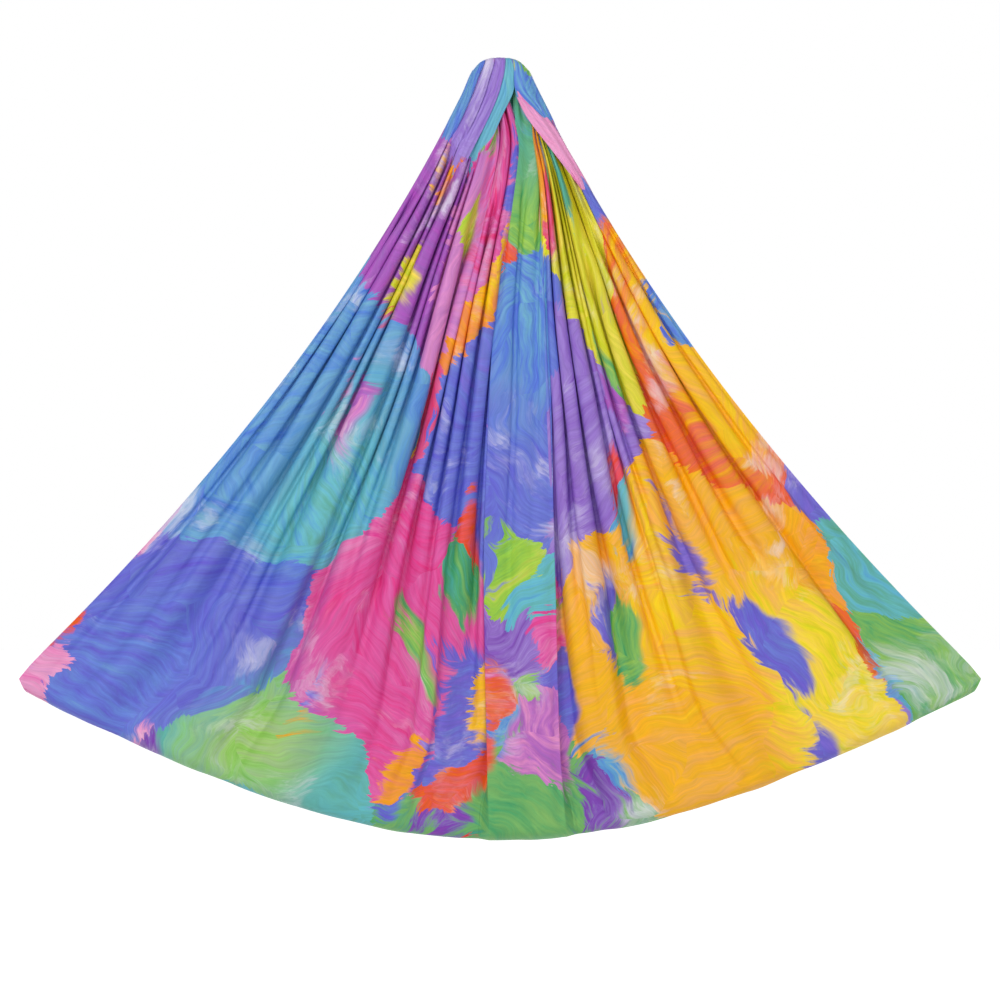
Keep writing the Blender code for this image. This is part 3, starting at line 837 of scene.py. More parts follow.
    def grid(self) -> tuple[Array, Array, tuple[int, int]]:
        """Join the legs and the trough into one grid.

        Returns:
            The points by row and column, the flat place of each, and the rows of the two cuts.
        """
        front = self.leg_grid(Side.FRONT)
        back = self.leg_grid(Side.BACK)
        trough = self.trough_grid(front[-1])
        closing = ease(np.linspace(self.closing_start, 1, self.leg_rows))
        blend = closing[:, None, None] ** self.closing_power
        back[-self.leg_rows:] += (trough[-1] - back[-1])[None] * blend
        points = np.concatenate([front, trough[1:-1], back[::-1]])
        down = distances(points[:, points.shape[1] // 2])
        flat = stacked(self.flat_columns()[None, :], down[:, None])
        return points, flat, (len(front) - 1, len(front) + len(trough) - 2)

    def build(self, finishes: list[Material]) -> list[Piece]:
        """Make the front leg, the trough and the back leg.

        Args:
            finishes: the print's face and its reverse.

        Returns:
            The three pieces.
        """
        points, flat, cuts = self.grid()
        points, flat = points[:, ::-1], flat[:, ::-1]
        normals = grid_normals(points)
        stretches = (("front_leg_cloth", "front_leg", slice(0, cuts[0] + 1)),
                     ("trough_cloth", "seat_fold", slice(cuts[0], cuts[1] + 1)),
                     ("back_leg_cloth", "back_leg", slice(cuts[1], len(points))))
        pieces = []
        for name, node, rows in stretches:
            mesh = ClothMesh(finishes)
            mesh.add_wall(points[rows], normals[rows], flat[rows], self.wall)
            piece = mesh.build(name)
            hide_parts(node)
            if node == "seat_fold":
                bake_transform(piece)
            else:
                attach(piece, (Side.FRONT if node == "front_leg" else Side.BACK).body.value)
            pieces.append(piece)
        return pieces


def grid_normals(points: Array, closed: bool = False) -> Array:
    """Give a grid's unit normals: the cross product of its two central differences.

    Args:
        points: points by row and column.
        closed: whether the last column meets the first.

    Returns:
        The normals, of the same shape.
    """
    down = np.gradient(points, axis=0)
    along = (np.roll(points, -1, axis=1) - np.roll(points, 1, axis=1) if closed
             else np.gradient(points, axis=1))
    normal = np.cross(along, down)
    return normal / np.linalg.norm(normal, axis=2, keepdims=True).clip(1e-12)


@dataclass
class ClothMesh:
    """Collects grids of cloth, and makes them one closed mesh that has the print's flat places.

    A bundle's ends are drawn in twice, to a shoulder and to a tip. The sizes are shares of the
    end's own, and the pull is how far each is drawn in, as a share of the whole pull.
    """

    finishes: list[Material]
    places: list[Array] = field(default_factory=list)
    normals: list[Array] = field(default_factory=list)
    flats: list[Array] = field(default_factory=list)
    quads: list[Array] = field(default_factory=list)
    kinds: list[Array] = field(default_factory=list)
    count: int = 0
    shoulder_size: float = 0.45
    shoulder_pull: float = 0.7
    tip_size: float = 0.02

    def take(self, places: Array, normals: Array, flats: Array, quads: Array,
             kinds: Array) -> None:
        """Add points and the faces between them.

        Args:
            places: the points.
            normals: their unit normals.
            flats: their places on the flat sheet, in metres.
            quads: four of the points for each face.
            kinds: which finish each face has.
        """
        self.places.append(places)
        self.normals.append(normals)
        self.flats.append(flats)
        self.quads.append(quads + self.count)
        self.kinds.append(kinds)
        self.count += len(places)

    def add_wall(self, points: Array, normals: Array, flat: Array, wall: float) -> None:
        """Add a closed thin wall: two faces half a wall out from a grid, and its rims.

        Args:
            points: points by row and column.
            normals: unit normals, which point to the printed face.
            flat: the flat place of each point, in metres.
            wall: the wall's thickness.
        """
        rows, columns = points.shape[:2]
        index = np.arange(rows * columns).reshape(rows, columns)
        upper = np.stack([index[:-1, :-1].ravel(), index[:-1, 1:].ravel(),
                          index[1:, 1:].ravel(), index[1:, :-1].ravel()], axis=1)
        lower = upper[:, ::-1] + rows * columns
        loop = np.concatenate([index[0, :-1], index[:-1, -1], index[-1, :0:-1], index[:0:-1, 0]])
        after = np.roll(loop, -1)
        rim = np.stack([after, loop, loop + rows * columns, after + rows * columns], axis=1)
        kinds = np.zeros(2 * len(upper) + len(rim), dtype=np.int32)
        kinds[len(upper):2 * len(upper)] = len(self.finishes) - 1
        self.take(np.concatenate([(points + normals * wall / 2).reshape(-1, 3),
                                  (points - normals * wall / 2).reshape(-1, 3)]),
                  np.concatenate([normals.reshape(-1, 3), -normals.reshape(-1, 3)]),
                  np.tile(flat.reshape(-1, 2), (2, 1)),
                  np.concatenate([upper, lower, rim]), kinds)

    def add_bundle(self, points: Array, flat: Array, pull: float) -> None:
        """Add a closed bundle: a grid whose columns go round, with both ends drawn to a point.

        Args:
            points: points by row, and by column round the bundle.
            flat: the flat place of each point, in metres.
            pull: how far each end's middle is pulled into the bundle.
        """
        rows, columns = points.shape[:2]
        ends = []
        for edge, inner in ((0, 1), (-1, -2)):
            middle, before = points[edge].mean(axis=0), points[inner].mean(axis=0)
            inward = (before - middle) / np.linalg.norm(before - middle)
            drawn = ((self.shoulder_size, self.shoulder_pull), (self.tip_size, 1.0))
            ends.append(np.stack([points[edge] * size + middle * (1 - size) + inward * pull * depth
                                  for size, depth in drawn]))
        points = np.concatenate([ends[0][::-1], points, ends[1]])
        flat = np.concatenate([flat[:1], flat[:1], flat, flat[-1:], flat[-1:]])
        index = np.arange((rows + 4) * columns).reshape(rows + 4, columns)
        turned = np.roll(index, -1, axis=1)
        sides = np.stack([index[:-1].ravel(), turned[:-1].ravel(),
                          turned[1:].ravel(), index[1:].ravel()], axis=1)
        step = np.arange(columns // 2 - 1)
        cap = np.stack([step, columns - 1 - step, columns - 2 - step, step + 1], axis=1)
        quads = np.concatenate([sides, cap[:, ::-1], cap + index[-1, 0]])
        normals = grid_normals(points, closed=True)
        self.take(points.reshape(-1, 3), normals.reshape(-1, 3), flat.reshape(-1, 2), quads,
                  np.zeros(len(quads), dtype=np.int32))

    def build(self, name: str) -> Piece:
        """Make the object from all that was added, smooth, with the print's UV map in metres.

        Args:
            name: the object's name.

        Returns:
            The object.
        """
        quads = np.concatenate(self.quads)
        mesh = bpy.data.meshes.new(name)
        mesh.from_pydata(np.concatenate(self.places), [], quads)
        for finish in self.finishes:
            mesh.materials.append(finish)
        mesh.polygons.foreach_set("material_index", np.concatenate(self.kinds))
        uv = mesh.uv_layers.new(name="cloth")
        corners = np.concatenate(self.flats)[quads.ravel()]
        uv.data.foreach_set("uv", corners.astype(np.float32).ravel())
        mesh.shade_smooth()
        mesh.normals_split_custom_set_from_vertices(np.concatenate(self.normals))
        return add_object(name, mesh)


def smooth_line(marks: tuple[Pair, ...], count: int, fine: int = 121,
                reach: int = 11) -> Array:
    """Draw a smooth line through marks: even steps along their chords, then a running mean.

    Args:
        marks: two coordinates each.
        count: how many points to give.
        fine: how many even steps' points the mean is taken over.
        reach: how many points the mean reaches each way.

    Returns:
        The points, which keep the first and the last mark.
    """
    marks = np.array(marks)
    length = distances(marks)
    even = np.linspace(0, length[-1], fine)
    line = np.stack([np.interp(even, length, marks[:, axis]) for axis in (0, 1)], axis=1)
    window = np.hanning(2 * reach + 1)
    window /= window.sum()
    padded = np.concatenate([2 * line[0] - line[reach:0:-1], line,
                             2 * line[-1] - line[-2:-reach - 2:-1]])
    smooth = [np.convolve(padded[:, axis], window, "valid") for axis in (0, 1)]
    picks = np.linspace(0, fine - 1, count)
    return np.stack([np.interp(picks, np.arange(fine), values) for values in smooth], axis=1)


@dataclass(frozen=True)
class Wrap:
    """One layer of cloth that is wrapped over the head, with a folded edge.

    The edges are lines on the front view, as x and z in metres. The hidden edge lies under the
    next layer, and the folded edge shows. Both run down to where the layer tucks under. A layer
    at the sheet's free edge also goes round the side of the head to the lining.
    """

    folded: tuple[Pair, ...]
    hidden: tuple[Pair, ...]
    lift: float
    print_place: Pair
    over_crown: bool = True
    at_edge: bool = False


@dataclass(frozen=True)
class HeadWraps:
    """The layers that cross over the head of each leg and leave an upside-down V between them.

    A run is where something begins and over how much of a layer it grows, in shares of its
    length. Steps are how many steps of a noise's lattice go to a layer's width and to its length.
    """

    sheet: SlingSheet
    finishes: list[Material]
    rows: int = 40
    columns: int = 26
    first_share: float = 0.05
    tries: int = 25
    turn_steps: int = 6
    turn_radius: float = 0.0012
    narrowest: float = 1e-4
    tuck: float = 0.012
    tuck_share: float = 0.6
    tuck_steps: int = 3
    proud: float = 0.0085
    sunk: float = 0.0016
    dive: float = 0.042
    dive_run: Pair = (0.50, 0.50)
    dive_power: float = 1.5
    start_dive: float = 0.04
    start_run: Pair = (0.0, 0.16)
    covered_share: float = 0.18
    swell_share: float = 0.86
    swell_power: float = 0.75
    seed: int = 90
    ripple: float = 0.0026
    ripple_steps: Pair = (5.5, 3.0)
    fine_ripple: float = 0.6
    fine_ripple_steps: Pair = (11, 4)
    crown_run: Pair = (0.0, 0.2)
    crown_start: float = 0.12
    crown_steps: int = 8
    crown_rise: float = 0.0014
    crown_swell: float = 0.06
    side_steps: int = 6
    side_bulge: float = 0.0030
    side_gap: float = 0.0015
    side_narrowing: float = 0.9
    print_stretch: float = 2.2
    wraps: tuple[Wrap, ...] = (
        Wrap(folded=((0.0386, 0.020), (0.0388, -0.023), (0.0362, -0.072), (0.0130, -0.118),
                     (-0.0060, -0.160), (-0.0280, -0.216), (-0.0500, -0.262), (-0.0800, -0.326)),
             hidden=((0.0080, 0.022), (0.0030, -0.023), (-0.0120, -0.080), (-0.0350, -0.134),
                     (-0.0600, -0.184), (-0.0800, -0.235), (-0.0880, -0.290), (-0.0860, -0.330)),
             lift=0.0000, print_place=(3.25, 1.70)),
        Wrap(folded=((0.0133, 0.023), (0.0093, -0.023), (-0.0040, -0.078), (-0.0266, -0.132),
                     (-0.0500, -0.180), (-0.0770, -0.232), (-0.1040, -0.288), (-0.1330, -0.350)),
             hidden=((-0.0220, 0.020), (-0.0320, -0.023), (-0.0440, -0.074), (-0.0660, -0.128),
                     (-0.0910, -0.180), (-0.1170, -0.232), (-0.1350, -0.290), (-0.1390, -0.354)),
             lift=0.0010, print_place=(-0.70, 1.75)),
        Wrap(folded=((-0.0160, 0.021), (-0.0253, -0.023), (-0.0386, -0.073), (-0.0598, -0.127),
                     (-0.0850, -0.180), (-0.1117, -0.233), (-0.1410, -0.294)),
             hidden=((-0.0480, 0.012), (-0.0580, -0.023), (-0.0720, -0.068), (-0.0920, -0.114),
                     (-0.1160, -0.164), (-0.1380, -0.224), (-0.1460, -0.298)),
             lift=0.0018, print_place=(3.25, 5.00)),
        Wrap(folded=((-0.0420, 0.014), (-0.0545, -0.023), (-0.0690, -0.068), (-0.0880, -0.113),
                     (-0.1100, -0.161), (-0.1340, -0.209), (-0.1600, -0.262)),
             hidden=((-0.0750, -0.022), (-0.0826, -0.038), (-0.0950, -0.070), (-0.1190, -0.118),
                     (-0.1390, -0.158), (-0.1590, -0.214), (-0.1650, -0.266)),
             lift=0.0026, print_place=(1.55, 0.75), at_edge=True),
        Wrap(folded=((0.0400, -0.060), (0.0430, -0.082), (0.0540, -0.106), (0.0690, -0.136),
                     (0.0940, -0.171), (0.1300, -0.217), (0.1980, -0.306), (0.2600, -0.385)),
             hidden=((0.0520, -0.056), (0.0700, -0.076), (0.0930, -0.100), (0.1230, -0.136),
                     (0.1500, -0.176), (0.1840, -0.236), (0.2310, -0.316), (0.2680, -0.385)),
             lift=0.0020, print_place=(4.55, 0.65), over_crown=False, at_edge=True),
        Wrap(folded=((0.0375, 0.020), (0.0378, -0.023), (0.0390, -0.064), (0.0530, -0.080),
                     (0.0760, -0.104), (0.1020, -0.132), (0.1280, -0.155), (0.1570, -0.192)),
             hidden=((0.0790, -0.022), (0.0860, -0.038), (0.0932, -0.054), (0.1012, -0.070),
                     (0.1250, -0.118), (0.1405, -0.150), (0.1510, -0.176), (0.1605, -0.197)),
             lift=0.0045, print_place=(1.45, 0.62), at_edge=True),
    )

    def depth_at(self, x: Array, z: Array) -> Array:
        """Give the depth of a leg's outermost folds at places on the front view.

        The place across and the share of the way down are found by trying again and again, each
        from the other.

        Args:
            x: places across the sling, in metres.
            z: heights, of the same shape.

        Returns:
            The depth from the middle plane.
        """
        outline = self.sheet.outline
        share = np.full_like(x, self.first_share)
        for _ in range(self.tries):
            edge_x, _, _ = outline.place(np.ones_like(x), share)
            across = np.clip(x / edge_x, -1, 1)
            top = outline.crown(across) - outline.roll_height
            _, foot, _ = outline.place(across, np.ones_like(x))
            share = np.clip((top - z) / (top - foot), 0, 1)
        _, _, depth = outline.place(across, share)
        swing = self.sheet.swing_reach * self.sheet.swing_limit(share.ravel()).reshape(x.shape)
        return depth + swing

    def wrap_grid(self, wrap: Wrap, leg: Side) -> tuple[Array, Array]:
        """Work out one layer: across from its hidden edge to its folded edge, down from the crown.

        The layer lies flat where the next one covers it and swells from there as a power of a
        sine. At its folded edge it turns under by half a circle and runs back. At its foot it
        narrows and dives under. At the sheet's free edge it goes on round the side of the head.

        Args:
            wrap: the layer.
            leg: the leg that it lies on.

        Returns:
            Points by row and column, and their flat places.
        """
        folded = smooth_line(wrap.folded, self.rows)
        hidden = smooth_line(wrap.hidden, self.rows)
        down = np.linspace(0, 1, self.rows)[:, None]
        share = np.linspace(0, 1, self.columns)[None, :]
        x = hidden[:, :1] + (folded[:, :1] - hidden[:, :1]) * share
        z = hidden[:, 1:] + (folded[:, 1:] - hidden[:, 1:]) * share
        if wrap.over_crown:
            top = self.sheet.outline.crown_at(x[:1])
            z = z + (top - z[:1]) * (1 - rising(down, *self.crown_run))
        bare = np.clip((share - self.covered_share) / (1 - self.covered_share), 0, 1)
        bulge = np.sin(self.swell_share * math.pi * bare) ** self.swell_power
        seed = int(self.seed + wrap.lift * 1e4) + leg.value
        depth = (self.depth_at(x, z) + wrap.lift - self.sunk + self.proud * bulge
                 - self.sinking(wrap, down)
                 + self.ripples(seed, share, down) * np.sin(math.pi * bare) ** 0.5)
        if wrap.at_edge:
            x, z, depth = self.round_side(x, z, depth, down)
        x, z, depth = self.turned_under(x, z, depth, folded - hidden)
        points = stacked(x, leg.value * depth, z)
        if wrap.over_crown:
            points = np.concatenate([self.crown_roll(points[:1], leg), points])
        way = distances(points[self.rows // 2])
        way = way - way[self.side_steps if wrap.at_edge else 0]
        fall = distances(points[:, self.columns // 2])
        print_x, print_y = wrap.print_place
        flat = stacked(print_x + self.print_stretch * way[None, :], print_y + fall[:, None])
        return points, flat

    def sinking(self, wrap: Wrap, down: Array) -> Array:
        """Give how far a layer dives under: at its foot, and a little where it starts on a leg.

        Args:
            wrap: the layer.
            down: shares of the layer's length, as a column.

        Returns:
            The sinking in metres, row by row.
        """
        sinking = self.dive * rising(down, *self.dive_run) ** self.dive_power
        if not wrap.over_crown:
            sinking = sinking + self.start_dive * self.dive * (1 - rising(down, *self.start_run))
        return sinking

    def ripples(self, seed: int, share: Array, down: Array) -> Array:
        """Give a layer's soft ripples: coarse noise and less of a finer one.

        Args:
            seed: picks the noise.
            share: shares of the way across, as a row.
            down: shares of the layer's length, as a column.

        Returns:
            The rise in metres, by row and column.
        """
        coarse, fine = (
            soft_noise(number, share * across, down * along)
            for number, (across, along) in ((seed, self.ripple_steps),
                                            (seed + 9, self.fine_ripple_steps)))
        return self.ripple * (coarse + self.fine_ripple * fine)

    def round_side(self, x: Array, z: Array, depth: Array,
                   down: Array) -> tuple[Array, Array, Array]:
        """Carry a layer's free edge round the side of the head, to the lining.

        Args:
            x: places across the sling, by row and column.
            z: heights.
            depth: depths from the middle plane.
            down: shares of the layer's length, as a column.

        Returns:
            The same three, with the side's columns before them.
        """
        turn = np.linspace(1, 0, self.side_steps + 1)[None, :-1]
        room = depth[:, :1] - self.sheet.outline.lining_depth - self.side_gap
        inner = room * (1 - self.side_narrowing * ease(down))
        out = np.sign(x[:, :1]) * self.side_bulge * np.sin(math.pi * turn)
        return (beside(x[:, :1] + out, x),
                beside(np.repeat(z[:, :1], self.side_steps, axis=1), z),
                beside(depth[:, :1] - inner * turn, depth))

    def turned_under(self, x: Array, z: Array, depth: Array,
                     across: Array) -> tuple[Array, Array, Array]:
        """Turn a layer's folded edge under by half a circle, and run the cloth back beneath it.

        Args:
            x: places across the sling, by row and column.
            z: heights.
            depth: depths from the middle plane.
            across: the way from the hidden edge to the folded one, as x and z, row by row.

        Returns:
            The same three, with the turned cloth's columns after them.
        """
        width = np.hypot(across[:, 0], across[:, 1])[:, None]
        unit = across / width.clip(self.narrowest)
        angle = np.linspace(0, math.pi, self.turn_steps)[None, 1:]
        turn = np.broadcast_to(self.turn_radius * np.sin(angle), (self.rows, self.turn_steps - 1))
        tuck = np.minimum(self.tuck, self.tuck_share * width)
        back = -np.linspace(0, 1, self.tuck_steps + 1)[None, 1:] * tuck
        step = beside(turn, back)
        under = np.concatenate([self.turn_radius * (1 - np.cos(angle[0])),
                                np.full(self.tuck_steps, 2 * self.turn_radius)])
        return (beside(x, x[:, -1:] + unit[:, :1] * step),
                beside(z, z[:, -1:] + unit[:, 1:] * step),
                beside(depth, depth[:, -1:] - under[None, :]))

    def crown_roll(self, top: Array, leg: Side) -> Array:
        """Carry a layer's first row over the crown by most of half an ellipse, to the slot.

        Args:
            top: the first row of points.
            leg: the leg.

        Returns:
            The rows before it, from the slot up.
        """
        outline = self.sheet.outline
        angle = np.linspace(self.crown_start * math.pi, math.pi, self.crown_steps + 1)[:-1, None]
        outer = leg.value * top[..., 1]
        middle = (outer + outline.lining_depth) / 2
        half = (outer - outline.lining_depth) / 2
        rise = outline.roll_height + self.crown_rise + self.crown_swell * (outer - outer.max())
        return stacked(top[..., 0] * (1 - outline.crown_draw * np.sin(angle)),
                       leg.value * (middle - half * np.cos(angle)),
                       top[..., 2] + rise * np.sin(angle))

    def build(self, leg: Side) -> Piece:
        """Make all the layers of one leg's head as one piece.

        Args:
            leg: the leg.

        Returns:
            The piece.
        """
        mesh = ClothMesh(self.finishes)
        for wrap in self.wraps:
            points, flat = self.wrap_grid(wrap, leg)
            normals = grid_normals(points)
            if leg.value * normals[self.rows // 2, self.columns // 2, 1] < 0:
                points, flat, normals = points[:, ::-1], flat[:, ::-1], -normals[:, ::-1]
            mesh.add_wall(points, normals, flat, self.sheet.wall)
        piece = mesh.build(f"{leg.word}_head_wraps")
        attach(piece, leg.body.value)
        return piece


@dataclass(frozen=True)
class Knot:
    """The sheet's gathered ends: two bights over the lower bow, the choking turn and two tails.

    A bundle's ridges are uneven by three waves round it, of the sizes given by unevenness.
    """

    finishes: list[Material]
    rod_radius: float = 0.006
    bow_radius: float = 0.029
    hinge_z: float = -0.073
    fit_gap: float = 0.0003
    bundle_radius: float = 0.0085
    bundle_side: float = 0.0089
    neck_radius: float = 0.0072
    neck_side: float = 0.0076
    neck_depth: float = 0.0076
    neck_start: float = 0.012
    neck_length: float = 0.012
    bight_end: float = 0.044
    tail_length: float = 0.160
    tail_end_radius: float = 0.010
    tail_end_share: float = 0.75
    collar_drop: float = 0.029
    collar_radius: float = 0.0234
    collar_rope_radius: float = 0.0050
    collar_slant: float = 0.0012
    collar_degrees: Pair = (-8, 368)
    ridge_count: int = 13
    ridge_depth: float = 0.24
    ridge_power: float = 1.5
    unevenness: Triple = (0.9, 0.7, 0.5)
    flattening: float = 0.05
    flare_depth: float = 1.4
    flare_run: Pair = (0.4, 0.6)
    print_start: Pair = (0.31, 1.7)
    half_print: float = 1.4
    sides: int = 104
    bight_steps: int = 30
    tail_steps: int = 44
    collar_steps: int = 150

    @property
    def bar_z(self) -> float:
        """Give the height of the lower bow's middle."""
        return self.hinge_z - self.bow_radius

    def bight_path(self, side: Side) -> tuple[Array, Array]:
        """Lay out a bight: up through the choke, half a circle over the bow and down again.

        Args:
            side: the leg whose end it is, which lies to one side of the bow's middle.

        Returns:
            Points along the path, and the bundle's radius at each.
        """
        reach = self.rod_radius + self.fit_gap + self.bundle_radius
        top = self.hinge_z - math.sqrt((self.bow_radius - reach) ** 2 - self.bundle_side ** 2)
        turn = top - reach
        neck_top = self.bar_z - self.neck_start
        rise = np.linspace(self.bar_z - self.bight_end, turn, self.bight_steps)
        opened = ease((rise - neck_top + self.neck_length) / self.neck_length)
        x = self.neck_side + (self.bundle_side - self.neck_side) * opened
        depth = self.neck_depth + (reach - self.neck_depth) * opened
        radius = self.neck_radius + (self.bundle_radius - self.neck_radius) * opened
        angle = np.linspace(0, math.pi, self.bight_steps)[1:-1]
        arc = np.stack([np.full_like(angle, self.bundle_side), reach * np.cos(angle),
                        turn + reach * np.sin(angle)], axis=1)
        up = np.stack([x, depth, rise], axis=1)
        down = up[::-1] * (1, -1, 1)
        path = np.concatenate([up, arc, down]) * (side.value, 1, 1)
        over = np.full_like(angle, self.bundle_radius)
        return path, np.concatenate([radius, over, radius[::-1]])

    def tail_path(self, side: Side) -> tuple[Array, Array]:
        """Lay out a tail: straight down from the choke, swelling by part of half a sine.

        Args:
            side: the leg whose free end it is.

        Returns:
            Points along the path, and the bundle's radius at each.
        """
        share = np.linspace(0, 1, self.tail_steps)
        swell = np.sin(math.pi * share * self.tail_end_share)
        radius = self.neck_radius + (self.tail_end_radius - self.neck_radius) * swell
        drop = self.bar_z - self.bight_end - self.fit_gap - self.tail_length * share
        return np.stack([np.full_like(share, side.value * self.neck_side),
                         np.full_like(share, -side.value * self.neck_depth), drop], axis=1), radius

    def bundle(self, path: Array, radius: Array, up: Triple, seed: int,
               twist: float, flare: float = 0.0) -> tuple[Array, Array]:
        """Carry a bundle of gathered cloth along a path.

        Its section is a ring of uneven ridges with narrow valleys: the radius less a share of
        itself times a power of how near the valley is. The ridges twist slowly along the path.

        Args:
            path: points along the bundle.
            radius: the bundle's radius at each point.
            up: a direction that is never along the path.
            seed: picks the unevenness.
            twist: turns that the ridges make from end to end.
            flare: how much deeper the valleys become at the far end.

        Returns:
            Points by row and by column round the bundle, and their flat places.
        """
        tangent = np.gradient(path, axis=0)
        tangent /= np.linalg.norm(tangent, axis=1, keepdims=True)
        side = np.cross(tangent, np.array(up))
        side /= np.linalg.norm(side, axis=1, keepdims=True)
        lift = np.cross(side, tangent)
        turn = np.linspace(0, 2 * math.pi, self.sides, endpoint=False)[None, :]
        way = np.linspace(0, 1, len(path))[:, None]
        first, second, third = self.unevenness
        uneven = (first * np.sin(turn + seed) + second * np.sin(2 * turn + 2.1 * seed)
                  + third * np.sin(3 * turn + way * 5 + seed))
        ridge = np.abs(np.sin(self.ridge_count * turn / 2 + uneven + twist * math.pi * way))
        low = self.ridge_depth * (1 + self.flare_depth * flare * rising(way, *self.flare_run))
        flattened = self.flattening * (1 + np.sin(turn * 2 + way * 9))
        ring = radius[:, None] * (1 - low * (1 - ridge) ** self.ridge_power - flattened)
        outward = (np.cos(turn)[..., None] * side[:, None, :]
                   + np.sin(turn)[..., None] * lift[:, None, :])
        points = path[:, None, :] + ring[..., None] * outward
        half = np.minimum(turn, 2 * math.pi - turn) / math.pi
        print_x, print_y = self.print_start
        flat = stacked(self.half_print * half + seed * print_x, distances(path)[:, None] + print_y)
        return points, flat

    def dress(self, name: str, node: str, bundle: tuple[Array, Array], pull: float) -> Piece:
        """Make one bundle's piece, which rides on the sling and replaces its plain solid.

        Args:
            name: the piece's name.
            node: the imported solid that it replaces.
            bundle: its points and their flat places.
            pull: how far each end's middle is pulled into the bundle.

        Returns:
            The piece.
        """
        mesh = ClothMesh(self.finishes[:1])
        mesh.add_bundle(*bundle, pull)
        piece = mesh.build(name)
        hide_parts(node)
        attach(piece, Body.SLING.value)
        return piece

    def build(self) -> list[Piece]:
        """Make both bights, both tails and the choking turn.

        Returns:
            The five pieces.
        """
        pieces = []
        across, upward = (1.0, 0.0, 0.0), (0.0, 0.0, 1.0)
        for side in Side:
            bight = self.bundle(*self.bight_path(side), across, seed=3 + side.value, twist=0.6)
            pieces.append(self.dress(f"{side.word}_bight_cloth", f"{side.word}_bight", bight,
                                     pull=0.001))
            tail = self.bundle(*self.tail_path(side), across, seed=6 + side.value, twist=1.2,
                               flare=1.0)
            pieces.append(self.dress(f"{side.word}_tail_cloth", f"{side.word}_tail", tail,
                                     pull=0.006))
        turn = np.radians(np.linspace(*self.collar_degrees, self.collar_steps))
        slant = np.linspace(-self.collar_slant, self.collar_slant, self.collar_steps)
        path = np.stack([self.collar_radius * np.cos(turn), self.collar_radius * np.sin(turn),
                         self.bar_z - self.collar_drop + slant], axis=1)
        collar = self.bundle(path, np.full_like(turn, self.collar_rope_radius), upward, seed=9,
                             twist=3.0)
        pieces.append(self.dress("choke_turn_cloth", "choke_collar", collar, pull=0.001))
        return pieces


@dataclass(frozen=True)
class Metal:
    """A metal finish: its colour and its stains', how rough it is, and how its tooling runs."""

    name: str
    colour: str
    tint: str
    roughness: float
    rough_range: float
    grain_mm: float
    stretch: Triple
    depth_mm: float

    def build(self) -> Material:
        """Make the finish: metal with soft stains, tooling lines and a little unevenness.

        Returns:
            The material.
        """
        material, tree, shader = new_material(self.name)
        shader.inputs["Metallic"].default_value = 1.0
        place = add_node(tree, "TexCoord").outputs["Object"]
        stain = add_node(tree, "TexNoise", {}, {
            "Vector": place, "Scale": 130.0, "Detail": 4.0, "Roughness": 0.6})
        drawn = add_node(tree, "Mapping", {}, {"Vector": place, "Scale": self.stretch})
        lines = add_node(tree, "TexNoise", {}, {
            "Vector": drawn, "Scale": 1000 / self.grain_mm / 2, "Detail": 2.0})
        share = add_node(tree, "MapRange", SMOOTH, {
            "Value": stain, "From Min": 0.42, "From Max": 0.66})
        colour = add_node(tree, "Mix", COLOURS, {
            0: share, 6: linear(self.colour), 7: linear(self.tint)})
        tree.links.new(colour.outputs[2], shader.inputs["Base Color"])
        rough = add_node(tree, "MapRange", {}, {
            "Value": lines, "From Min": 0.3, "From Max": 0.7,
            "To Min": self.roughness - self.rough_range,
            "To Max": self.roughness + self.rough_range})
        tree.links.new(rough.outputs[0], shader.inputs["Roughness"])
        bump = add_node(tree, "Bump", {}, {
            "Strength": 0.5, "Distance": self.depth_mm / 1000, "Height": lines})
        tree.links.new(bump.outputs[0], shader.inputs["Normal"])
        return material


# Zinc-plated forged steel: cool, a little cloudy, satin from tumbling.
PLATED_STEEL = Metal("zinc_plated_forged_steel", "#B4B8BC", "#9A9EA2", 0.30, 0.07, 0.9,
                     (1.0, 1.0, 1.0), 0.02)
# Turned rivet steel: a shade darker, with lathe rings across the pin.
RIVET_STEEL = Metal("turned_rivet_steel", "#A3A5A8", "#8B8D90", 0.34, 0.08, 0.5,
                    (1.0, 0.2, 1.0), 0.02)
# Drawn spring wire: dark and bright, with long draw lines.
SPRING_WIRE = Metal("drawn_spring_wire", "#8E9095", "#6E7075", 0.22, 0.06, 0.3,
                    (0.3, 0.3, 1.0), 0.01)
# Anodised aluminium: dark grey, even, with fine turning lines round the sleeve.
ANODISED = Metal("anodised_aluminium", "#44474F", "#383B42", 0.36, 0.06, 0.8,
                 (0.08, 0.08, 1.0), 0.03)


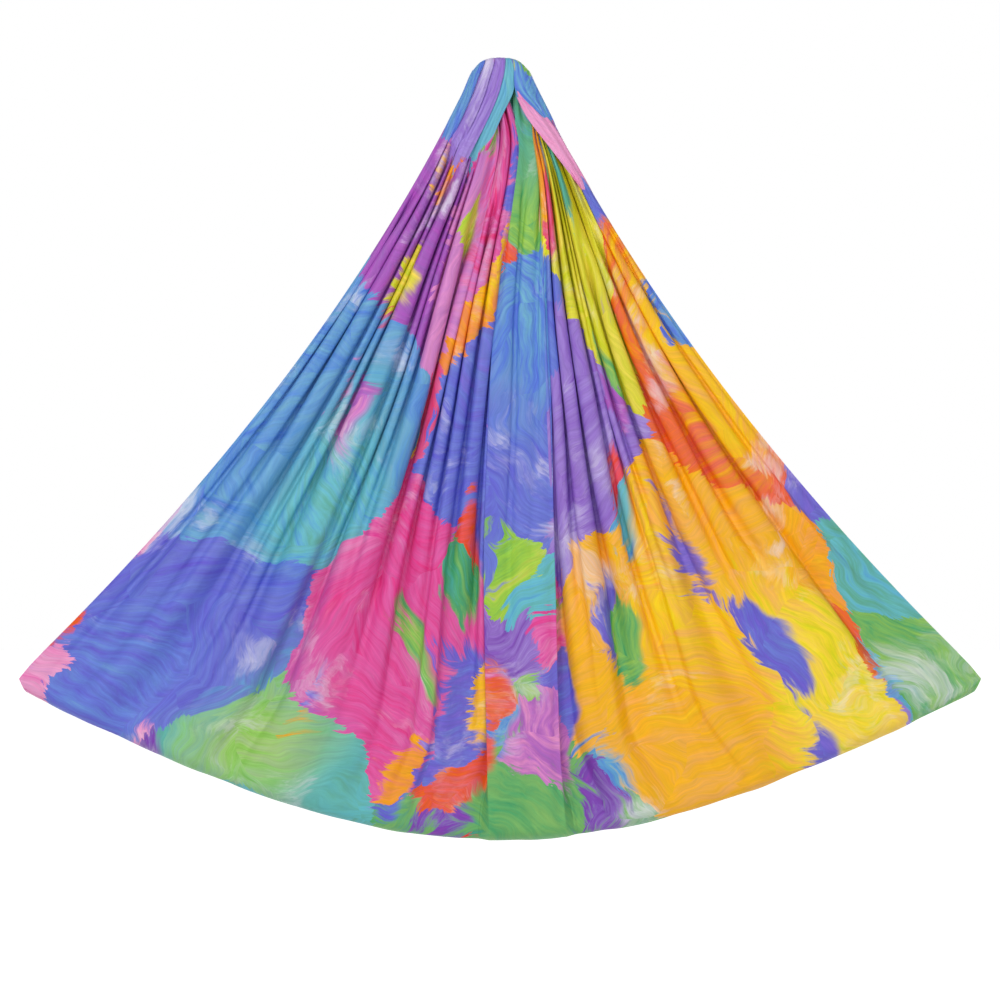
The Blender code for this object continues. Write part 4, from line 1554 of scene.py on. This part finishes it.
@dataclass(frozen=True)
class Carabiner:
    """The locking carabiner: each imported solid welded, smoothed and given its metal."""

    weld: float = 0.000004
    sharp_degrees: float = 32.0
    parts: tuple[tuple[str, str, Metal, Body], ...] = (
        ("carabiner_body", "plated_steel", PLATED_STEEL, Body.CARABINER),
        ("gate_pin", "rivet_steel", RIVET_STEEL, Body.CARABINER),
        ("carabiner_gate", "plated_steel", PLATED_STEEL, Body.GATE),
        ("latch_pin", "rivet_steel", RIVET_STEEL, Body.GATE),
        ("push_rod", "rivet_steel", RIVET_STEEL, Body.GATE),
        ("gate_spring", "spring_wire", SPRING_WIRE, Body.GATE),
        ("gate_sleeve", "anodised_aluminium", ANODISED, Body.SLEEVE))

    def build(self) -> list[Piece]:
        """Make the smooth copies. Facets that meet at less than the sharp angle shade as one.

        Returns:
            The seven pieces.
        """
        finishes = {}
        pieces = []
        for node, slot, metal, body in self.parts:
            if metal.name not in finishes:
                finishes[metal.name] = metal.build()
            mesh = bpy.data.objects[node].data.copy()
            work = bmesh.new()
            work.from_mesh(mesh)
            bmesh.ops.remove_doubles(work, verts=work.verts, dist=self.weld)
            work.to_mesh(mesh)
            work.free()
            mesh.materials.clear()
            mesh.materials.append(finishes[metal.name])
            mesh.polygons.foreach_set("material_index",
                                      np.zeros(len(mesh.polygons), dtype=np.int32))
            mesh.shade_smooth()
            mesh.set_sharp_from_angle(angle=math.radians(self.sharp_degrees))
            piece = add_object(f"{node}_dressed", mesh)
            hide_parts(node)
            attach(piece, body.value)
            pieces.append(piece)
        return pieces


@dataclass(frozen=True)
class Dabs:
    """One layer of paint: patches of one size, each of its own dye, with rims that bristles break.

    A rim's shares are where it ends and where it is whole, as shares of the patches' size. The
    start moves the pattern, so that each layer has patches of its own.
    """

    size_mm: float
    start: Triple
    lean_deg: float = 0.0
    slimness: float = 1.0
    painted_share: float = 1.0
    rim_shares: Pair = (9.0, 8.0)
    ragged_share: float = 0.0
    hue_step: float = 0.0
    hue_spread: float = 1.0


@dataclass(frozen=True)
class PrintedTricot:
    """Nylon tricot with a dye print: a satin knit, bright on its face and paler on its reverse.

    The print is layers of brushed patches. Each patch has a dye from one wheel, its strokes lie
    its own way, and dry-brush scratches and pale mists lie over some of it. Sizes in mm are the
    real print's. The crinkles are drawn coarser than real ones, and the knit's ribs, which are
    finer than any view shows, are left out.
    """

    start: Triple = (8.4, 0.0, 0.0)
    brush_mm: float = 300.0
    stroke_mm: float = 16.0
    bristle_mm: float = 4.0
    scratch_mm: float = 30.0
    crinkle_mm: float = 12.0
    crinkle_depth: float = 0.002
    stroke_times: float = 6.0
    bristle_times: float = 14.0
    drift_reach: float = 0.36
    ragged_reach: float = 0.15
    hue_sweep: float = 0.022
    scratch_hue: float = 0.40
    cell_spread: Triple = (9.0, 9.0, 0.0)
    mist_colour: str = "#F1ECF8"
    reverse_colour: str = "#E9E4EA"
    reverse_share: float = 0.38
    roughness: float = 0.50
    layers: tuple[Dabs, ...] = (
        Dabs(820, (1.15, 0.40, 0.0)),
        Dabs(560, (5.1, 1.4, 0.0), -35, 0.65, 0.90, (0.58, 0.24), 0.50, -0.15, 0.30),
        Dabs(330, (2.6, 7.3, 0.0), 50, 0.60, 0.45, (0.52, 0.44), 0.50, 0.22, 0.50),
        Dabs(170, (8.2, 3.5, 0.0), 10, 0.50, 0.30, (0.48, 0.34), 0.60, 0.50, 0.40))
    wheel: tuple[tuple[float, str], ...] = (
        (0.00, "#FADB30"), (0.07, "#F9BE1E"), (0.14, "#F5982A"), (0.20, "#EB5430"),
        (0.26, "#E6476E"), (0.32, "#DF4FA2"), (0.38, "#F0A0CC"), (0.44, "#B45CBE"),
        (0.51, "#7A42AE"), (0.58, "#A284D8"), (0.65, "#6C60CC"), (0.72, "#5A80D8"),
        (0.78, "#68BCCB"), (0.84, "#48A26C"), (0.91, "#9CCC3E"), (1.00, "#FADB30"))

    def build(self, name: str, reverse: bool) -> Material:
        """Make the print.

        Args:
            name: the material's name.
            reverse: True for the cloth's paler back.

        Returns:
            The material.
        """
        material, tree, shader = new_material(name)
        cloth = add_node(tree, "UVMap", {"uv_map": "cloth"})
        place = add_node(tree, "Mapping", {}, {
            0: cloth, "Location": self.start, "Scale": (-1.0, 1.0, 1.0)}).outputs[0]
        drift = add_node(tree, "TexNoise", {}, {"Vector": place, "Scale": 2.3, "Detail": 3.0})
        flowing = self.pushed(tree, place, drift.outputs["Color"], self.drift_reach)
        brushed = self.brushed(tree, flowing)
        stroke = self.drawn_out(tree, brushed, self.stroke_mm, self.stroke_times, detail=6.0)
        bristle = self.drawn_out(tree, brushed, self.bristle_mm, self.bristle_times, detail=3.0)
        ragged = self.pushed(tree, flowing, stroke.outputs["Color"], self.ragged_reach)
        colour = wash = None
        for layer in self.layers:
            colour, wash = self.painted(tree, layer, ragged, stroke, colour, wash)
        colour = self.scratched(tree, brushed, flowing, wash, colour)
        mist_noise = add_node(tree, "TexNoise", {}, {
            "Vector": ragged, "Scale": 3.0, "Detail": 5.0, "Roughness": 0.65})
        mist = add_node(tree, "MapRange", SMOOTH, {
            "Value": mist_noise, "From Min": 0.54, "From Max": 0.72, "To Max": 0.66})
        colour = add_node(tree, "Mix", COLOURS, {
            0: mist, 6: colour, 7: linear(self.mist_colour)}).outputs[2]
        tone = add_node(tree, "MapRange", {}, {
            "Value": bristle, "From Min": 0.30, "From Max": 0.70, "To Min": 0.89,
            "To Max": 1.09})
        vivid = add_node(tree, "MapRange", {}, {
            "Value": stroke, "From Min": 0.32, "From Max": 0.68, "To Min": 1.07,
            "To Max": 0.93})
        colour = add_node(tree, "HueSaturation", {}, {
            "Color": colour, "Value": tone, "Saturation": vivid}).outputs[0]
        if reverse:
            colour = add_node(tree, "Mix", COLOURS, {
                0: self.reverse_share, 6: colour, 7: linear(self.reverse_colour)}).outputs[2]
        tree.links.new(colour, shader.inputs["Base Color"])
        tree.links.new(self.crinkle(tree, place), shader.inputs["Normal"])
        shader.inputs["Roughness"].default_value = self.roughness
        shader.inputs["Specular IOR Level"].default_value = 0.35
        return material

    @staticmethod
    def pushed(tree: Tree, place: Socket, push: Socket, reach: float) -> Socket:
        """Push a place about by a noise's colour, up to half the reach each way.

        Args:
            tree: the material's node tree.
            place: the place.
            push: the noise's colour.
            reach: the whole way from one side to the other, in metres.

        Returns:
            The pushed place.
        """
        centred = add_node(tree, "VectorMath", {"operation": "SUBTRACT"},
                           {0: push, 1: (0.5, 0.5, 0.5)})
        return add_node(tree, "VectorMath", {"operation": "MULTIPLY_ADD"}, {
            0: centred, 1: (reach, reach, 0.0), 2: place}).outputs[0]

    def brushed(self, tree: Tree, place: Socket) -> Socket:
        """Turn the place by its own angle in each cell, so strokes lie another way in each.

        Args:
            tree: the material's node tree.
            place: the place on the cloth, in metres.

        Returns:
            The turned place, moved to another part of the noise in each cell.
        """
        cell = add_node(tree, "TexVoronoi", {}, {
            "Vector": place, "Scale": 1000 / self.brush_mm, "Randomness": 1.0})
        middle = add_node(tree, "VectorMath", {"operation": "SUBTRACT"}, {
            0: place, 1: cell.outputs["Position"]})
        chance = add_node(tree, "SeparateColor", {}, {0: cell.outputs["Color"]})
        angle = add_node(tree, "Math", {"operation": "MULTIPLY"}, {
            0: chance.outputs[2], 1: math.pi})
        turned = add_node(tree, "VectorRotate", {"rotation_type": "Z_AXIS"}, {
            "Vector": middle, "Angle": angle})
        return add_node(tree, "VectorMath", {"operation": "MULTIPLY_ADD"}, {
            0: cell.outputs["Color"], 1: self.cell_spread, 2: turned}).outputs[0]

    @staticmethod
    def drawn_out(tree: Tree, place: Socket, width_mm: float, times: float,
                  detail: float) -> Node:
        """Add noise that is drawn out into strokes.

        Args:
            tree: the material's node tree.
            place: the brushed place.
            width_mm: a stroke's width.
            times: how many times as long as wide a stroke is.
            detail: how many finer sizes of noise are added.

        Returns:
            The noise.
        """
        drawn = add_node(tree, "Mapping", {}, {"Vector": place, "Scale": (1 / times, 1.0, 1.0)})
        return add_node(tree, "TexNoise", {}, {
            "Vector": drawn, "Scale": 500 / width_mm, "Detail": detail, "Roughness": 0.68})

    def painted(self, tree: Tree, layer: Dabs, place: Socket, stroke: Node,
                colour: Socket | None, wash: Socket | None) -> tuple[Socket, Socket]:
        """Paint a layer's patches over what is there.

        A patch is a cell of a Voronoi pattern whose rim lies at a distance from its middle, moved
        in and out by the strokes. The first layer covers all, and its place on the wheel is the
        wash that the later layers start from.

        Args:
            tree: the material's node tree.
            layer: the layer.
            place: the ragged place on the cloth, in metres.
            stroke: the strokes' noise.
            colour: what is painted so far, or None.
            wash: the first layer's place on the wheel, or None.

        Returns:
            The colour with the layer on it, and the wash.
        """
        drawn = add_node(tree, "Mapping", {}, {
            "Vector": place, "Location": layer.start,
            "Rotation": (0, 0, math.radians(layer.lean_deg)), "Scale": (1.0, layer.slimness, 1.0)})
        cell = add_node(tree, "TexVoronoi", {}, {
            "Vector": drawn, "Scale": 1000 / layer.size_mm, "Randomness": 1.0})
        chance = add_node(tree, "SeparateColor", {}, {0: cell.outputs["Color"]})
        sweep = add_node(tree, "MapRange", {}, {
            "Value": stroke, "From Min": 0.3, "From Max": 0.7,
            "To Min": layer.hue_step - self.hue_sweep,
            "To Max": layer.hue_step + self.hue_sweep})
        hue = add_node(tree, "Math", {"operation": "MULTIPLY_ADD"}, {
            0: chance.outputs[0], 1: layer.hue_spread, 2: sweep}).outputs[0]
        if colour is None:
            return self.dye(tree, hue), hue
        hue = add_node(tree, "Math", {"operation": "ADD"}, {0: hue, 1: wash}).outputs[0]
        reach = add_node(tree, "Math", {"operation": "MULTIPLY_ADD"}, {
            0: stroke, 1: layer.ragged_share, 2: cell.outputs["Distance"]})
        middle = 0.5 * layer.ragged_share
        inside = add_node(tree, "MapRange", SMOOTH, {
            "Value": reach, "From Min": layer.rim_shares[0] + middle,
            "From Max": layer.rim_shares[1] + middle})
        chosen = add_node(tree, "Math", {"operation": "LESS_THAN"}, {
            0: chance.outputs[1], 1: layer.painted_share})
        cover = add_node(tree, "Math", {"operation": "MULTIPLY"}, {0: chosen, 1: inside})
        mixed = add_node(tree, "Mix", COLOURS, {0: cover, 6: colour, 7: self.dye(tree, hue)})
        return mixed.outputs[2], wash

    def dye(self, tree: Tree, hue: Socket) -> Socket:
        """Look a place on the wheel up: its whole turns are dropped, and the dyes blend between.

        Args:
            tree: the material's node tree.
            hue: the place, in turns.

        Returns:
            The colour.
        """
        turn = add_node(tree, "Math", {"operation": "FRACT"}, {0: hue})
        ramp = add_node(tree, "ValToRGB", {}, {0: turn})
        band = ramp.color_ramp
        for index, (position, colour) in enumerate(self.wheel):
            if index < 2:
                element = band.elements[index]
                element.position = position
            else:
                element = band.elements.new(position)
            element.color = linear(colour)
        return ramp.outputs[0]

    def scratched(self, tree: Tree, brushed: Socket, flowing: Socket, wash: Socket,
                  colour: Socket) -> Socket:
        """Scratch thin lines of another dye into some areas, as a dry brush does.

        Args:
            tree: the material's node tree.
            brushed: the place that is turned in each cell.
            flowing: the place that isn't.
            wash: the first layer's place on the wheel.
            colour: what is painted so far.

        Returns:
            The colour with the scratches on it.
        """
        drawn = add_node(tree, "Mapping", {}, {"Vector": brushed, "Scale": (0.34, 1.0, 1.0)})
        ridges = add_node(tree, "TexNoise", {"noise_type": "RIDGED_MULTIFRACTAL"}, {
            "Vector": drawn, "Scale": 500 / self.scratch_mm, "Detail": 6.0,
            "Roughness": 0.75, "Distortion": 0.5})
        lines = add_node(tree, "MapRange", SMOOTH, {
            "Value": ridges, "From Min": 0.50, "From Max": 0.80})
        areas = add_node(tree, "TexNoise", {}, {"Vector": flowing, "Scale": 3.4, "Detail": 4.0})
        area = add_node(tree, "MapRange", SMOOTH, {
            "Value": areas, "From Min": 0.48, "From Max": 0.60, "To Max": 0.80})
        cover = add_node(tree, "Math", {"operation": "MULTIPLY"}, {0: lines, 1: area})
        other = add_node(tree, "Math", {"operation": "ADD"}, {0: wash, 1: self.scratch_hue})
        return add_node(tree, "Mix", COLOURS, {
            0: cover, 6: colour, 7: self.dye(tree, other.outputs[0])}).outputs[2]

    def crinkle(self, tree: Tree, place: Socket) -> Socket:
        """Give the normal of fine crinkles, longer down the cloth than across it.

        Args:
            tree: the material's node tree.
            place: the place on the cloth, in metres.

        Returns:
            The normal.
        """
        drawn = add_node(tree, "Mapping", {}, {"Vector": place, "Scale": (1.0, 0.25, 1.0)})
        height = add_node(tree, "TexNoise", {}, {
            "Vector": drawn, "Scale": 500 / self.crinkle_mm, "Detail": 2.0})
        return add_node(tree, "Bump", {}, {
            "Strength": 0.45, "Distance": self.crinkle_depth, "Height": height}).outputs[0]


@dataclass(frozen=True)
class Lamp:
    """A square soft lamp: its place and its side in metres, and its power in watts."""

    name: str
    place: Triple
    size: float
    power: float


@dataclass(frozen=True)
class Studio:
    """Pale floor, white surroundings, soft lamps and the camera at the photograph's angle."""

    floor_z: float = -2.90
    floor_reach: float = 30.0
    floor_glow: float = 0.75
    surrounding_light: float = 0.38
    camera_distance: float = 9.0
    camera_z: float = -1.1507
    frame_width: float = 2.66
    floor_colour: str = "#F4F4F4"
    lamps_aim: Triple = (0.0, 0.0, -1.1)
    lamps: tuple[Lamp, ...] = (Lamp("key", (-2.6, -5.5, 1.6), 4.0, 190.0),
                               Lamp("fill", (3.4, -5.0, -0.4), 4.0, 60.0),
                               Lamp("back", (0.5, 6.0, 1.2), 4.0, 110.0))

    def build(self) -> None:
        """Make the floor, the world, the lamps and the camera."""
        scene = bpy.context.scene
        scene.view_settings.view_transform = "Standard"
        self.build_world(scene)
        self.build_floor()
        self.build_lamps()
        camera = bpy.data.cameras.new("camera")
        camera.angle = 2 * math.atan(self.frame_width / 2 / self.camera_distance)
        scene.camera = add_object("camera", camera)
        scene.camera.location = (0.0, -self.camera_distance, self.camera_z)
        scene.camera.rotation_euler = (math.pi / 2, 0.0, 0.0)

    @staticmethod
    def white_for_camera(tree: Tree) -> Socket:
        """Give 1 where the camera, a mirror or a glass looks, and 0 for light on the object.

        Args:
            tree: the node tree of the floor's material or of the world.

        Returns:
            The 1 or 0.
        """
        path = add_node(tree, "LightPath")
        seen = add_node(tree, "Math", {"operation": "MAXIMUM"}, {
            0: path.outputs["Is Camera Ray"], 1: path.outputs["Is Glossy Ray"]})
        return add_node(tree, "Math", {"operation": "MAXIMUM"}, {
            0: seen, 1: path.outputs["Is Transmission Ray"]}).outputs[0]

    def build_world(self, scene: bpy.types.Scene) -> None:
        """Make the surroundings: white to look at, and a soft grey light on the object.

        Args:
            scene: the scene that they are for.
        """
        world = bpy.data.worlds.new("studio")
        world.use_nodes = True
        scene.world = world
        tree = world.node_tree
        background = tree.nodes["Background"]
        level = add_node(tree, "MapRange", {}, {
            "Value": self.white_for_camera(tree), "To Min": self.surrounding_light, "To Max": 1.0})
        tree.links.new(level.outputs[0], background.inputs["Strength"])
        background.inputs["Color"].default_value = (1.0, 1.0, 1.0, 1.0)

    def build_floor(self) -> None:
        """Make the floor: pale, white to look at except where the object's shadow falls."""
        mesh = bpy.data.meshes.new("floor")
        corners = ((-1, -1), (1, -1), (1, 1), (-1, 1))
        mesh.from_pydata([(x * self.floor_reach, y * self.floor_reach, self.floor_z)
                          for x, y in corners], [], [(0, 1, 2, 3)])
        floor = add_object("floor", mesh)
        material, tree, shader = new_material("studio_floor")
        shader.inputs["Base Color"].default_value = linear(self.floor_colour)
        shader.inputs["Roughness"].default_value = 0.9
        seen = self.white_for_camera(tree)
        shader.inputs["Emission Color"].default_value = (1.0, 1.0, 1.0, 1.0)
        glow = add_node(tree, "Math", {"operation": "MULTIPLY"}, {0: seen, 1: self.floor_glow})
        tree.links.new(glow.outputs[0], shader.inputs["Emission Strength"])
        mesh.materials.append(material)

    def build_lamps(self) -> None:
        """Make three soft lamps: the key and the fill before the sling, and one behind it."""
        for kind in self.lamps:
            lamp = bpy.data.lights.new(kind.name, "AREA")
            lamp.shape = "SQUARE"
            lamp.size = kind.size
            lamp.energy = kind.power
            holder = add_object(kind.name, lamp)
            holder.location = kind.place
            aim = np.array(self.lamps_aim) - np.array(kind.place)
            turn = math.atan2(-aim[0], aim[1])
            tilt = math.atan2(np.hypot(aim[0], aim[1]), -aim[2])
            holder.rotation_euler = (tilt, 0.0, turn)


def main() -> None:
    """Build the studio and every piece of the hammock, in order."""
    logging.basicConfig(level=logging.INFO, format="%(name)s: %(message)s")
    Studio().build()
    tricot = PrintedTricot()
    finishes = [tricot.build("printed_tricot_face", reverse=False),
                tricot.build("printed_tricot_reverse", reverse=True)]
    sheet = SlingSheet()
    pieces = sheet.build(finishes)
    wraps = HeadWraps(sheet, finishes)
    pieces += [wraps.build(Side.FRONT), wraps.build(Side.BACK)]
    pieces += Knot(finishes).build()
    pieces += Carabiner().build()
    for piece in pieces:
        LOG.info("%s: %d faces", piece.name, len(piece.data.polygons))


if __name__ == "__main__":
    main()
